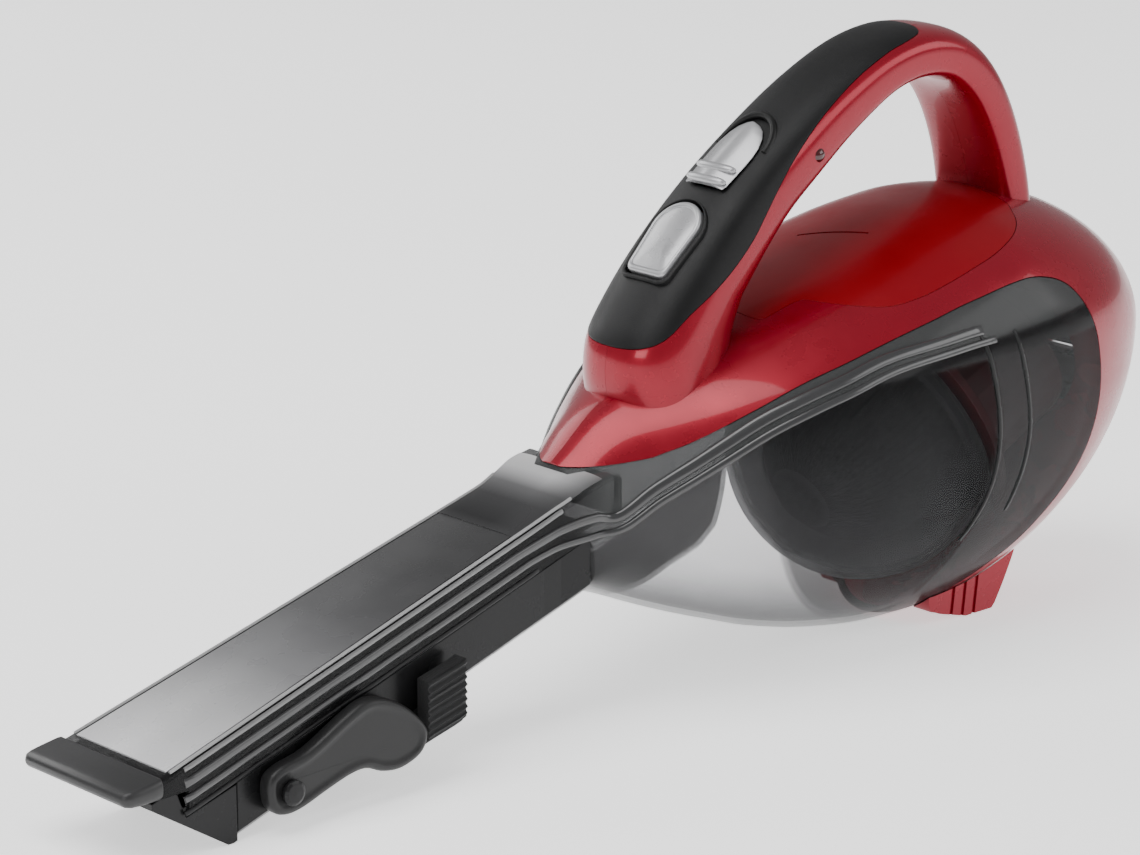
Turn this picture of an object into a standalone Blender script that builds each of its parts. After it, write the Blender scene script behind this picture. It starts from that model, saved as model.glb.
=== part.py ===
"""Cordless handheld vacuum: red clamshell body with an arched handle, smoke dust bowl and
nozzle that pull off forwards, slide-out crevice tool and flip-over brush.

Frame: +Z up, floor at Z = 0, nozzle towards -Y, tail towards +Y, X = 0 is the symmetry plane
and +X is the device's left side. Design tables are in millimetres; meshes are made in metres.
The last step moves everything by MIDDLE, so that the origin is under the middle of the length."""

import math

import bmesh
import bpy
import numpy as np
from mathutils import Matrix, Vector

# ------------------------------------------------------------------ driving dimensions (mm)
BODY_FRONT, BODY_WIDEST, BODY_END = -26.0, 115.0, 221.0
BODY_HALF_WIDTH = 58.0
WALL = 2.5  # red housing wall
BOWL_WALL = 2.0  # smoke bowl wall
GAP = 0.35  # gap between touching pieces
NOZZLE_TIP, NOZZLE_NECK = -196.0, -40.0
NOZZLE_TIP_Z, NOZZLE_SLOPE = 26.1, 0.294
DUCT_HEIGHT, NOZZLE_HEIGHT = 16.0, 33.7
AXIS_TILT = math.radians(26.0)  # bowl, filter, fan and motor share one axis
AXIS_POINT = (0.0, 125.0, 66.0)  # where it crosses the filter seat
SWITCH_TRAVEL, BUTTON_TRAVEL = 6.0, 2.5
BRUSH_PIVOT = (-153.0, 13.0)  # Y, Z
MIDDLE = 5.5  # Y of the middle of the length, in the design tables
TO_M = 0.001

FWD = Vector((0, -math.cos(AXIS_TILT), -math.sin(AXIS_TILT)))  # out of the bowl, forwards
RISE = Vector((0, -math.sin(AXIS_TILT), math.cos(AXIS_TILT)))


# ------------------------------------------------------------------ maths helpers
def curve_through(xs, ys):
    """Monotone cubic through design stations."""
    xs, ys = np.array(xs, float), np.array(ys, float)
    h = np.diff(xs)
    d = np.diff(ys) / h
    m = np.zeros(len(xs))
    m[0], m[-1] = d[0], d[-1]
    for i in range(1, len(xs) - 1):
        if d[i - 1] * d[i] > 0:
            w1, w2 = 2 * h[i] + h[i - 1], h[i] + 2 * h[i - 1]
            m[i] = (w1 + w2) / (w1 / d[i - 1] + w2 / d[i])

    def value(x):
        x = float(min(max(x, xs[0]), xs[-1]))
        i = int(min(max(np.searchsorted(xs, x) - 1, 0), len(xs) - 2))
        t = (x - xs[i]) / h[i]
        return float(
            (1 + 2 * t) * (1 - t) ** 2 * ys[i]
            + t * (1 - t) ** 2 * h[i] * m[i]
            + t * t * (3 - 2 * t) * ys[i + 1]
            + t * t * (t - 1) * h[i] * m[i + 1]
        )

    return value


body_half = curve_through([-26, -10, 4, 20, 40, 60, 80, 100, 115], [20, 26, 34.5, 43, 51, 55.5, 57.5, 58, 58])
body_top = curve_through(
    [-26, -20, -14, -8, 0, 20, 43, 60, 80, 100, 120, 140],
    [80.5, 85, 90, 94, 98, 106.5, 115.5, 122, 128, 133.5, 138, 140.5],
)
body_wide = curve_through([-26, -8, 4, 29, 60, 95, 130, 221], [50, 61, 69, 82.6, 92, 97.8, 98, 90])
body_low = curve_through([-26, -10, 5, 20, 38, 52, 80, 100, 115], [41, 35, 28.5, 22.4, 15.8, 10.9, 4.2, 1.5, 1.0])


def body_section(y):
    """Half width, top, widest height and bottom of the body at station y."""
    if y <= BODY_WIDEST:
        w, low = body_half(y), body_low(y)
    else:
        t = min((y - BODY_WIDEST) / (BODY_END - BODY_WIDEST), 1.0)
        w = BODY_HALF_WIDTH * (1 - t**2.4) ** (1 / 2.4)
        low = 88 - 87 * math.sqrt(max(1 - t * t, 0))
    if y <= 140:
        top = body_top(y)
    else:
        top = 92 + 48.5 * math.sqrt(max(1 - ((y - 140) / (BODY_END - 140)) ** 2, 0))
    return w, top, body_wide(y), low


def body_rings(inset, count, stations):
    """Closed rings round the body, drawn in by inset."""
    rings = []
    for y in stations:
        w, top, wide, low = body_section(y)
        w, top, low = max(w - inset, 0.6), top - inset, low + inset
        wide = min(max(wide, low + 0.5), top - 0.5)
        ring = []
        for i in range(count):
            a = 2 * math.pi * i / count
            c = math.cos(a)
            ring.append((w * math.sin(a), y, wide + ((top - wide) if c >= 0 else (wide - low)) * c))
        rings.append(ring)
    return rings


def body_half_at(y, z):
    w, top, wide, low = body_section(y)
    t = (z - wide) / (top - wide) if z > wide else (wide - z) / (wide - low)
    return w * math.sqrt(max(1 - t * t, 0))


# Handle: crest and soffit lines (Y, Z) with the half width, from the stem to the tail.
HANDLE = [
    ((1, 88), (32, 94), 21.5),
    ((-3, 99), (37.5, 104), 21),
    ((-3.4, 106), (40, 110), 20.8),
    ((-2.5, 113), (41.5, 115), 20.5),
    ((4.5, 123), (44, 121), 20.2),
    ((14, 134), (47.5, 129), 19.8),
    ((30.6, 150), (54.5, 139), 18.8),
    ((48, 164), (64, 149), 17.8),
    ((65.6, 175.7), (76.5, 158), 17.2),
    ((79, 183.6), (87.5, 166), 16.8),
    ((92.5, 190), (99, 173), 16.5),
    ((107, 195.3), (110.5, 179), 16.3),
    ((123, 197.8), (122.5, 181.5), 16.2),
    ((138, 196.3), (133, 180.5), 16.2),
    ((151, 190), (141.5, 175.5), 16.3),
    ((161, 179.5), (148.5, 168), 16.5),
    ((168.5, 166), (154, 158), 16.8),
    ((174, 149), (158.5, 146), 17.2),
    ((176.5, 134), (161, 134), 17.8),
    ((177, 120), (162, 122), 18.5),
    ((174, 106), (160, 110), 18.5),
]
_k = list(range(len(HANDLE)))
handle_cy = curve_through(_k, [h[0][0] for h in HANDLE])
handle_cz = curve_through(_k, [h[0][1] for h in HANDLE])
handle_sy = curve_through(_k, [h[1][0] for h in HANDLE])
handle_sz = curve_through(_k, [h[1][1] for h in HANDLE])
handle_a = curve_through(_k, [h[2] for h in HANDLE])


def handle_rings(inset, count, params, power=2.5):
    rings = []
    for k in params:
        crest = np.array([handle_cy(k), handle_cz(k)])
        soffit = np.array([handle_sy(k), handle_sz(k)])
        mid, up = (crest + soffit) / 2, (crest - soffit) / 2
        h = np.linalg.norm(up)
        up = up / h * (h - inset)
        a = handle_a(k) - inset
        ring = []
        for i in range(count):
            t = 2 * math.pi * i / count
            s, c = math.sin(t), math.cos(t)
            x = a * math.copysign(abs(s) ** (2 / power), s)
            u = math.copysign(abs(c) ** (2 / power), c)
            ring.append((x, mid[0] + up[0] * u, mid[1] + up[1] * u))
        rings.append(ring)
    return rings


# Side profile of the space the bowl fills (Y, Z): its upper edge under the red shoulder,
# round inside the tail and forwards above the foot.
BOWL_EDGE = [
    (-60, 80), (-26, 80), (-8, 82.1), (-1.3, 84.2), (7.7, 87.8), (23, 94.8), (39.4, 101.5),
    (57, 106.8), (76.6, 111.7), (98.8, 115.9), (113, 118), (128, 119.8), (139.7, 120.0),
    (150.7, 117.1), (158, 110.9), (164.5, 99.5), (169.7, 83), (171.6, 68), (170.2, 55),
    (165.2, 44), (157.4, 34.1), (149.6, 26), (142, 21), (135, 16.5), (127, 11), (118, 4.5), (105, -6),
]


def smooth_line(points, per=3):
    """Catmull-Rom through the points of an open line."""
    out = []
    for i in range(len(points) - 1):
        p0 = np.array(points[max(i - 1, 0)], float)
        p1, p2 = np.array(points[i], float), np.array(points[i + 1], float)
        p3 = np.array(points[min(i + 2, len(points) - 1)], float)
        for j in range(per):
            t = j / per
            out.append(
                tuple(
                    0.5
                    * (
                        2 * p1
                        + (p2 - p0) * t
                        + (2 * p0 - 5 * p1 + 4 * p2 - p3) * t * t
                        + (3 * p1 - p0 - 3 * p2 + p3) * t**3
                    )
                )
            )
    out.append(tuple(points[-1]))
    return out


def offset_line(points, by):
    """Moves an open line sideways, to the left of its direction for by > 0."""
    pts = np.array(points, float)
    out = []
    for i in range(len(pts)):
        a, b = pts[max(i - 1, 0)], pts[min(i + 1, len(pts) - 1)]
        d = (b - a) / np.linalg.norm(b - a)
        out.append(tuple(pts[i] + by * np.array([-d[1], d[0]])))
    return out


def bowl_profile(grow):
    """Closed side profile of the bowl's space, grown by grow towards the housing."""
    line = offset_line(smooth_line(BOWL_EDGE, 1), grow)
    return line + [(105, -40), (-260, -40), (-260, 80 + grow)]


def nozzle_half(y):
    if y <= NOZZLE_NECK:
        return 24 - (y - NOZZLE_TIP) / (NOZZLE_NECK - NOZZLE_TIP) * 5.5
    return 18.5 + 1.5 * min((y - NOZZLE_NECK) / 14, 1)


nozzle_rise = curve_through([-50, -40, -33, -26, -18, -10], [0, 0.15, 0.8, 1.6, 0.9, 0])


def nozzle_top(y):
    return NOZZLE_TIP_Z + NOZZLE_SLOPE * (y - NOZZLE_TIP) + (nozzle_rise(y) if y > -50 else 0)


# ------------------------------------------------------------------ scene and materials
for old in list(bpy.data.objects):
    bpy.data.objects.remove(old)
scene = bpy.context.scene
parts = bpy.data.collections.new("handheld_vacuum")
scene.collection.children.link(parts)
cutters = bpy.data.collections.new("cutters")
scene.collection.children.link(cutters)
cutters.hide_render = True


def material(name, colour, rough, metal=0.0, alpha=1.0):
    m = bpy.data.materials.new(name)
    m.use_nodes = True
    b = m.node_tree.nodes["Principled BSDF"]
    b.inputs["Base Color"].default_value = (*colour, 1)
    b.inputs["Roughness"].default_value = rough
    b.inputs["Metallic"].default_value = metal
    b.inputs["Alpha"].default_value = alpha
    m.diffuse_color = (*colour, alpha)
    return m


RED = material("gloss_red", (0.45, 0.02, 0.03), 0.22, 0.3)
DEEP_RED = material("deep_red", (0.36, 0.01, 0.02), 0.18, 0.2)
SOFT_BLACK = material("soft_black", (0.02, 0.02, 0.022), 0.6)
SILVER = material("silver", (0.6, 0.6, 0.62), 0.32, 0.6)
SMOKE = material("smoke", (0.08, 0.08, 0.085), 0.08, 0.0, 0.45)
SATIN = material("satin_window", (0.35, 0.35, 0.36), 0.3, 0.2)
DARK = material("dark_plastic", (0.05, 0.05, 0.055), 0.4)
GREY = material("grey_plastic", (0.09, 0.09, 0.095), 0.42)
BRISTLE = material("bristle", (0.012, 0.012, 0.012), 0.7)
PAPER = material("filter_paper", (0.55, 0.55, 0.52), 0.9)
FRAME_BLACK = material("frame_black", (0.03, 0.03, 0.03), 0.5)
RUBBER = material("rubber", (0.03, 0.03, 0.03), 0.8)
MAROON = material("maroon_plastic", (0.2, 0.01, 0.015), 0.35)
STEEL = material("steel", (0.55, 0.55, 0.56), 0.35, 1.0)
BRASS = material("brass", (0.7, 0.5, 0.2), 0.35, 1.0)
CELL = material("cell_wrap", (0.05, 0.2, 0.35), 0.35)
BOARD = material("board_green", (0.02, 0.14, 0.05), 0.5)


def add(name, mesh, mat=None, where=parts, smooth=True):
    obj = bpy.data.objects.new(name, mesh)
    where.objects.link(obj)
    if mat:
        mesh.materials.append(mat)
    if where is cutters:
        obj.hide_render = True
        obj.display_type = "WIRE"
    elif smooth:
        mesh.shade_smooth()
        mesh.set_sharp_from_angle(angle=math.radians(32))
    return obj


def mesh_from(name, verts, faces):
    mesh = bpy.data.meshes.new(name)
    bm = bmesh.new()
    made = [bm.verts.new(Vector(v) * TO_M) for v in verts]
    for f in faces:
        bm.faces.new([made[i] for i in f])
    bmesh.ops.recalc_face_normals(bm, faces=bm.faces)
    if bm.calc_volume(signed=True) < 0:
        bmesh.ops.reverse_faces(bm, faces=bm.faces)
    bm.to_mesh(mesh)
    bm.free()
    return mesh


def loft(name, rings, mat=None, where=parts, pole=None):
    """Skin between closed rings, capped at both ends; pole adds an end point."""
    n = len(rings[0])
    verts = [v for ring in rings for v in ring]
    faces = []
    for r in range(len(rings) - 1):
        for i in range(n):
            j = (i + 1) % n
            faces.append((r * n + i, r * n + j, (r + 1) * n + j, (r + 1) * n + i))
    faces.append(tuple(range(n)))
    last = (len(rings) - 1) * n
    if pole is None:
        faces.append(tuple(last + i for i in range(n)))
    else:
        verts.append(pole)
        for i in range(n):
            faces.append((last + i, last + (i + 1) % n, len(verts) - 1))
    return add(name, mesh_from(name, verts, faces), mat, where)


def prism(name, outline, lo, hi, mat=None, where=cutters, frame="x"):
    """Straight extrusion of an outline: frame x takes (Y, Z), z takes (X, Y)."""

    def place(p, h):
        return (h, p[0], p[1]) if frame == "x" else (p[0], p[1], h)

    n = len(outline)
    verts = [place(p, lo) for p in outline] + [place(p, hi) for p in outline]
    faces = [tuple(range(n)), tuple(range(n, 2 * n))]
    faces += [(i, (i + 1) % n, n + (i + 1) % n, n + i) for i in range(n)]
    return add(name, mesh_from(name, verts, faces), mat, where, smooth=False)


def basis(origin, x_dir, z_dir):
    """World matrix with local Z along z_dir, in metres."""
    z = Vector(z_dir).normalized()
    x = Vector(x_dir) if abs(z.dot(Vector(x_dir).normalized())) < 0.95 else Vector((0, 1, 0))
    x = (x - z * x.dot(z)).normalized()
    y = z.cross(x)
    m = Matrix((x, y, z)).transposed().to_4x4()
    m.translation = Vector(origin) * TO_M
    return m


def cylinder(name, origin, axis, radius, depth, mat=None, where=parts, sides=32, radius2=None):
    """Cylinder or cone whose base centre is origin and which runs along axis."""
    mesh = bpy.data.meshes.new(name)
    bm = bmesh.new()
    bmesh.ops.create_cone(
        bm, cap_ends=True, segments=sides, radius1=radius * TO_M,
        radius2=(radius if radius2 is None else radius2) * TO_M, depth=depth * TO_M,
        matrix=Matrix.Translation((0, 0, depth * TO_M / 2)),
    )
    bm.to_mesh(mesh)
    bm.free()
    obj = add(name, mesh, mat, where)
    obj.matrix_world = basis(origin, (1, 0, 0) if abs(Vector(axis).normalized().x) < 0.9 else (0, 1, 0), axis)
    return obj


def box(name, centre, size, mat=None, where=parts, x_dir=(1, 0, 0), z_dir=(0, 0, 1), bevel=0.0):
    mesh = bpy.data.meshes.new(name)
    bm = bmesh.new()
    bmesh.ops.create_cube(bm, size=1.0, matrix=Matrix.Diagonal((size[0] * TO_M, size[1] * TO_M, size[2] * TO_M, 1)))
    bm.to_mesh(mesh)
    bm.free()
    obj = add(name, mesh, mat, where, smooth=False)
    obj.matrix_world = basis(centre, x_dir, z_dir)
    if bevel:
        mod = obj.modifiers.new("round", "BEVEL")
        mod.width = bevel * TO_M
        mod.segments = 2
    return obj


def turned(name, profile, origin, axis, mat=None, where=parts, steps=40):
    """Turned piece: profile (radius, height) from the top down its outer side, spun about axis."""
    mesh = bpy.data.meshes.new(name)
    closed = profile[0][0] > 1e-6
    verts = [(r * TO_M, 0, h * TO_M) for r, h in profile]
    edges = [(i, i + 1) for i in range(len(verts) - 1)] + ([(len(verts) - 1, 0)] if closed else [])
    mesh.from_pydata(verts, edges, [])
    obj = bpy.data.objects.new(name, mesh)
    where.objects.link(obj)
    if mat:
        mesh.materials.append(mat)
    mod = obj.modifiers.new("spin", "SCREW")
    mod.steps = mod.render_steps = steps
    mod.use_merge_vertices = True
    mod.merge_threshold = 0.00002
    mod.use_smooth_shade = True
    if where is cutters:
        obj.hide_render = True
        obj.display_type = "WIRE"
    obj.matrix_world = basis(origin, (1, 0, 0), axis)
    return obj


def boolean(obj, other, operation="DIFFERENCE"):
    mod = obj.modifiers.new(operation.lower(), "BOOLEAN")
    mod.operation = operation
    mod.object = other
    mod.solver = "EXACT"


def settled(obj, name, mat=None, where=parts, smooth=True):
    """A new object with obj's evaluated shape, in world coordinates."""
    bpy.context.view_layer.update()
    graph = bpy.context.evaluated_depsgraph_get()
    mesh = bpy.data.meshes.new_from_object(obj.evaluated_get(graph))
    mesh.transform(obj.matrix_world)
    mesh.materials.clear()
    return add(name, mesh, mat, where, smooth)


def half_of(obj, name, x):
    """What lies beyond the plane X = x, closed with a flat face."""
    bm = bmesh.new()
    bm.from_mesh(obj.data)
    bmesh.ops.remove_doubles(bm, verts=bm.verts, dist=1e-6)
    bmesh.ops.triangulate(bm, faces=bm.faces)
    bmesh.ops.bisect_plane(
        bm, geom=bm.verts[:] + bm.edges[:] + bm.faces[:], dist=1e-8, plane_co=(x * TO_M, 0, 0), plane_no=(1, 0, 0), clear_inner=True
    )
    rim = [e for e in bm.edges if e.is_boundary]
    flat = bmesh.ops.edgeloop_fill(bm, edges=rim)["faces"]
    bmesh.ops.recalc_face_normals(bm, faces=bm.faces)
    bmesh.ops.triangulate(bm, faces=flat, ngon_method="EAR_CLIP")
    mesh = bpy.data.meshes.new(name)
    bm.to_mesh(mesh)
    bm.free()
    return add(name, mesh, None, cutters)


def on_axis(s, up=0.0, x=0.0):
    """Point at distance s in front of the filter seat on the tilted axis."""
    p = Vector(AXIS_POINT) + FWD * s + RISE * up
    return (p.x + x, p.y, p.z)


# ------------------------------------------------------------------ stations
BODY_Y = [-26, -18, -10, 0, 11, 23, 38, 56, 78, 100, 121, 141, 158, 173, 187, 199, 208, 215, 219.2]
BODY_SIDES = 28
HANDLE_K = [0, 1, 2, 3, 4, 5, 6, 7, 8, 9, 10, 11, 12, 13, 14, 15, 16, 17, 18, 19, 20]
HANDLE_SIDES = 16


def body(name, inset, where=cutters, stations=BODY_Y, sides=BODY_SIDES):
    ys = [y for y in stations if y < BODY_END - inset - 0.8]
    if inset:
        ys = [BODY_FRONT + (inset if inset > 0 else inset)] + [y for y in ys if y > BODY_FRONT + max(inset, 0) + 0.5]
    tail = BODY_END - inset
    return loft(name, body_rings(inset, sides, ys), None, where, pole=(0, tail, 90))


# ------------------------------------------------------------------ red housing
space = prism("bowl_space", bowl_profile(0.0), -80, 80)
space_grown = prism("bowl_space_grown", bowl_profile(WALL), -81, 81)
cavity = body("housing_cavity", WALL)
boolean(cavity, space_grown)
handle_in = loft("handle_cavity", handle_rings(WALL, HANDLE_SIDES, HANDLE_K), None, cutters)
boolean(cavity, handle_in, "UNION")
cavity = settled(cavity, "housing_cavity_done", None, cutters)

# Grip insert: the part of the handle above this side line.
GRIP_LINE = [
    (-12, 112.2), (-2.5, 113), (6, 116.4), (15.3, 123.6), (25.4, 130), (34, 136), (42.1, 143), (48, 150),
    (54.3, 157.6), (62, 165.6), (73, 174.6), (84, 181.8), (95, 187.6), (107, 192.4), (117, 194.8), (124, 196.4), (128, 199), (131, 203),
]


def grip_profile(shift):
    line = offset_line(GRIP_LINE, shift)
    return line + [(131, 230), (-40, 230), (-40, 112.2 + shift)]


grip_space = prism("grip_space", grip_profile(-0.15), -40, 40)
grip_space_in = prism("grip_space_in", grip_profile(0.2), -40, 40)

# Top panel outline (X, Y), between the stem and the rear of the handle.
PANEL = [
    (0, 46.5), (12, 46.5), (17, 48), (18.5, 54), (20.5, 61.5), (26.2, 65.2), (33.2, 70.6), (40.5, 80), (43.2, 92),
    (43.2, 105), (42.2, 118), (40.4, 130), (36.6, 142), (31, 150), (24.5, 154.5), (21.2, 156.5), (19.5, 156.8), (0, 156.8),
]


def panel_outline(shift):
    """Closed outline, drawn in by shift."""
    pts = PANEL + [(-x, y) for x, y in PANEL[-2:0:-1]]
    cx, cy = 0.0, 102.0
    out = []
    n = len(pts)
    for i in range(n):
        a, b = np.array(pts[i - 1], float), np.array(pts[(i + 1) % n], float)
        d = (b - a) / np.linalg.norm(b - a)
        nrm = np.array([d[1], -d[0]])
        if nrm @ (np.array(pts[i]) - np.array([cx, cy])) < 0:
            nrm = -nrm
        p = np.array(pts[i], float) - nrm * shift
        out.append((float(p[0]), float(p[1])))
    return out


panel_space = prism("panel_space", panel_outline(0.0), 100, 190, frame="z")
boolean(panel_space, body("panel_reach", -0.5), "INTERSECT")
panel_space = settled(panel_space, "panel_space_done", None, cutters)
panel_space_in = prism("panel_space_in", panel_outline(GAP), 90, 180, frame="z")
panel_floor = body("panel_floor", WALL + 0.4)

core = body("housing_core", 0.0)
stem = loft("handle_solid", handle_rings(0.0, HANDLE_SIDES, HANDLE_K), None, cutters)
boolean(core, stem, "UNION")
boolean(core, space)
boolean(core, cavity)
boolean(core, grip_space)
core = settled(core, "housing_core_done", None, cutters)
# the panel's window goes through the roof only, outside the handle's feet
boolean(core, panel_space)
mouth = loft(
    "motor_window",
    [
        [(41.2 * math.sin(a), *on_axis(s, 31.2 * math.cos(a))[1:]) for a in np.linspace(0, 2 * math.pi, 32, endpoint=False)]
        for s in (6, -60)
    ],
    None,
    cutters,
)
boolean(core, mouth)
for i in range(6):
    vent = box(f"vent_cut_{i}", (0, 203, 108 - 6.5 * i), (30 - 2.2 * abs(i - 2), 60, 2.4), None, cutters, z_dir=(0, 0.18, 1))
    boolean(core, vent)
core = settled(core, "housing_core_cut", None, cutters)
core = half_of(core, "housing_half", 0.15)

left = settled(core, "housing_left_solid", None, cutters)
boolean(left, cylinder("led_hole", (30, 72.5, 164.7), (-1, 0, 0), 2.5, 25, None, cutters, 20))
settled(left, "housing_left", RED)

# the right half is the left half's mirror image, with the screws' counterbores
mirrored = core.data.copy()
mirrored.transform(Matrix.Diagonal((-1, 1, 1, 1)))
mirrored.flip_normals()
right = add("housing_right_solid", mirrored, None, cutters)
SCREWS = [(112, 186), (147, 183), (186, 112), (188, 62)]
SCREW_LENGTH = [12, 12, 6, 6]
screw_x = []
for i, (y, z) in enumerate(SCREWS):
    x = -14.5 if i < 2 else -(body_half_at(y, z) - 1.6)
    screw_x.append(x)
    boolean(right, cylinder(f"screw_hole_{i + 1}", (x - 12, y, z), (1, 0, 0), 3.1, 22, None, cutters, 16))
settled(right, "housing_right", RED)

panel = body("panel_solid", 0.0)
boolean(panel, panel_floor)
boolean(panel, panel_space_in, "INTERSECT")
slit = box("panel_slit", (0, 97, 135), (32, 1.4, 30), None, cutters, x_dir=(1, 0.18, 0))
panel = settled(panel, "panel_done", None, cutters)
boolean(panel, slit)
settled(panel, "top_panel", DEEP_RED)

# ------------------------------------------------------------------ grip insert, switch and button
grip = loft("grip_solid", handle_rings(0.0, HANDLE_SIDES, HANDLE_K), None, cutters)
boolean(grip, handle_in)
boolean(grip, grip_space_in, "INTERSECT")
grip = settled(grip, "grip_done", None, cutters)


def crest_frame(k):
    """Point, forward (towards the nozzle) tangent and outward normal on the handle's crest."""
    p = Vector((0, handle_cy(k), handle_cz(k)))
    q = Vector((0, handle_cy(k + 0.05), handle_cz(k + 0.05)))
    t = (p - q).normalized()
    n = Vector((0, -t.z, t.y)) * -1
    if n.z < 0:
        n = -n
    return p, t, n


SW_P, SW_T, SW_N = crest_frame(7.05)
BT_P, BT_T, BT_N = crest_frame(5.55)

# Slide switch: thumb cap on a stem through a slot, with two grip ribs at its nose.
slot = box("switch_slot", SW_P + SW_T * 2 - SW_N * 4, (8.6, 21, 16), None, cutters, z_dir=SW_N)
boolean(grip, slot)


def on_crest(p, t, n, along, across, up):
    q = Vector(p) + Vector(t) * along + Vector(n) * up
    return (q.x + across, q.y, q.z)


# Button recess: an arched opening, round at the top and square at the bottom.
def arch(half, length, nose):
    """Outline (across, along) with its round end away from the nozzle."""
    pts = [(-half * 0.78, nose), (half * 0.78, nose), (half, nose - 3)]
    for a in np.linspace(0, math.pi, 11):
        pts.append((half * math.cos(a), nose - length + half - half * math.sin(a)))
    pts.append((-half, nose - 3))
    return pts


def crest_prism(name, outline, lo, hi, p, t, n, mat=None, where=cutters):
    rings = [[on_crest(p, t, n, v, u, h) for u, v in outline] for h in (lo, hi)]
    return loft(name, rings, mat, where)


boolean(grip, crest_prism("button_recess", arch(10.2, 29.5, 14.2), -12, 12, BT_P, BT_T, BT_N))
settled(grip, "grip_insert", SOFT_BLACK)


def crowned(name, outline, p, t, n, low, high, crown, mat, rise=0.0):
    """Push piece: straight skirt with a domed top over the outline."""
    cx = sum(u for u, _ in outline) / len(outline)
    cy = sum(v for _, v in outline) / len(outline)
    rings = []
    for k, h in ((1.0, low), (1.0, high), (0.93, high + 0.55 * crown), (0.78, high + 0.85 * crown), (0.4, high + crown)):
        rings.append([on_crest(p, t, n, cy + (v - cy) * k, cx + (u - cx) * k, h + rise * (v - cy) * k) for u, v in outline])
    return loft(name, rings, mat)


crowned("release_button", arch(9.4, 27.6, 13.2), BT_P, BT_T, BT_N, -4.5, -1.0, 1.9, SILVER)

cap = loft(
    "switch_cap_solid",
    [
        [
            on_crest(SW_P, SW_T, SW_N, v, u * k, lift + up)
            for u, up in ((-9, -0.7), (-9, -0.1), (-6, 0.8), (0, 1.5), (6, 0.8), (9, -0.1), (9, -0.7), (6, -0.2), (0, 0.1), (-6, -0.2))
        ]
        for v, k, lift in ((-14.5, 0.35, 0.4), (-11, 0.72, 0.7), (-6, 0.95, 0.9), (0, 1.0, 1.0), (8, 0.98, 1.0), (12.5, 0.92, 0.9))
    ],
    None,
    cutters,
)
cap_stem = box("switch_stem", SW_P - SW_N * 3.2, (7.6, 11, 9), None, cutters, z_dir=SW_N)
boolean(cap, cap_stem, "UNION")
for i, v in enumerate((11.0, 6.2)):
    rib = box(f"switch_rib_{i}", SW_P + SW_T * v + SW_N * 2.3, (14.5, 2.6, 2.4), None, cutters, z_dir=SW_N)
    boolean(cap, rib, "UNION")
settled(cap, "power_slider", SILVER)

# ------------------------------------------------------------------ inside the handle and stem
box("switch_module", SW_P - SW_N * 11.3, (12, 18, 6), FRAME_BLACK, z_dir=SW_N)
box("circuit_board", on_crest(*crest_frame(9.4), 0, 0, -9.5), (20, 26, 1.6), BOARD, z_dir=crest_frame(9.4)[2])
turned(
    "button_spring",
    [(3.6, 5.0), (3.6, 0.0), (2.6, 0.0), (2.6, 5.0)],
    BT_P - BT_N * 9.9, BT_N, STEEL, steps=20,
)
box("spring_seat", BT_P - BT_N * 11.4, (12, 14, 2.2), FRAME_BLACK, z_dir=BT_N)
latch = box("latch_bar", (0, 7, 102), (10, 3, 20), None, cutters)
boolean(latch, box("latch_hook", (0, 4.5, 93.6), (10, 6, 3), None, cutters), "UNION")
settled(latch, "release_latch", FRAME_BLACK, smooth=False)
turned(
    "charge_indicator",
    [(0.0, 1.2), (1.4, 1.0), (2.1, 0.3), (2.1, -4.0), (0.0, -4.0)],
    (16.0, 72.5, 164.7), (1, 0, 0), RUBBER, steps=20,
)
for i, (y, z) in enumerate(SCREWS):
    turned(
        f"housing_screw_{i + 1}",
        [(0.0, 0.0), (2.8, 0.0), (2.8, -1.8), (1.45, -2.4), (1.45, -SCREW_LENGTH[i]), (0.0, -SCREW_LENGTH[i] - 1.0)],
        (screw_x[i], y, z), (-1, 0, 0), STEEL, steps=12,
    )

# ------------------------------------------------------------------ motor, fan, battery
flange = turned(
    "motor_flange",
    [(46, 0.0), (46, -3.0), (24, -3.0), (24, 0.0)],
    on_axis(0), FWD, None, cutters, steps=36,
)
tube = loft(
    "motor_tube",
    [
        [(40 * math.sin(a), *on_axis(s, 30 * math.cos(a))[1:]) for a in np.linspace(0, 2 * math.pi, 32, endpoint=False)]
        for s in (-1.0, -42)
    ],
    None,
    cutters,
)
tube_in = loft(
    "motor_tube_in",
    [
        [(38 * math.sin(a), *on_axis(s, 28 * math.cos(a))[1:]) for a in np.linspace(0, 2 * math.pi, 32, endpoint=False)]
        for s in (-3.0, -60)
    ],
    None,
    cutters,
)
inlet = cylinder("motor_inlet", on_axis(-8), FWD, 24, 20, None, cutters, 36)
boolean(tube, tube_in)
boolean(tube, inlet)
boolean(tube, flange, "UNION")
settled(tube, "motor_housing", MAROON)

turned(
    "motor_mount",
    [(27.4, -14.6), (27.4, -17.0), (16.6, -17.0), (16.6, -14.6)],
    on_axis(0), FWD, FRAME_BLACK, steps=28,
)
turned(
    "motor_can",
    [(0.0, -14.6), (2.3, -14.6), (2.3, -13.4), (5.0, -13.4), (5.0, -14.2), (15.0, -14.2), (16.2, -15.4), (16.2, -48.0), (5.0, -49.0), (5.0, -51.0), (0.0, -51.0)],
    on_axis(0), FWD, STEEL, steps=24,
)
turned(
    "motor_shaft",
    [(0.0, -3.4), (1.4, -3.6), (1.4, -14.2), (0.0, -14.2)],
    on_axis(0), FWD, STEEL, steps=12,
)
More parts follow.
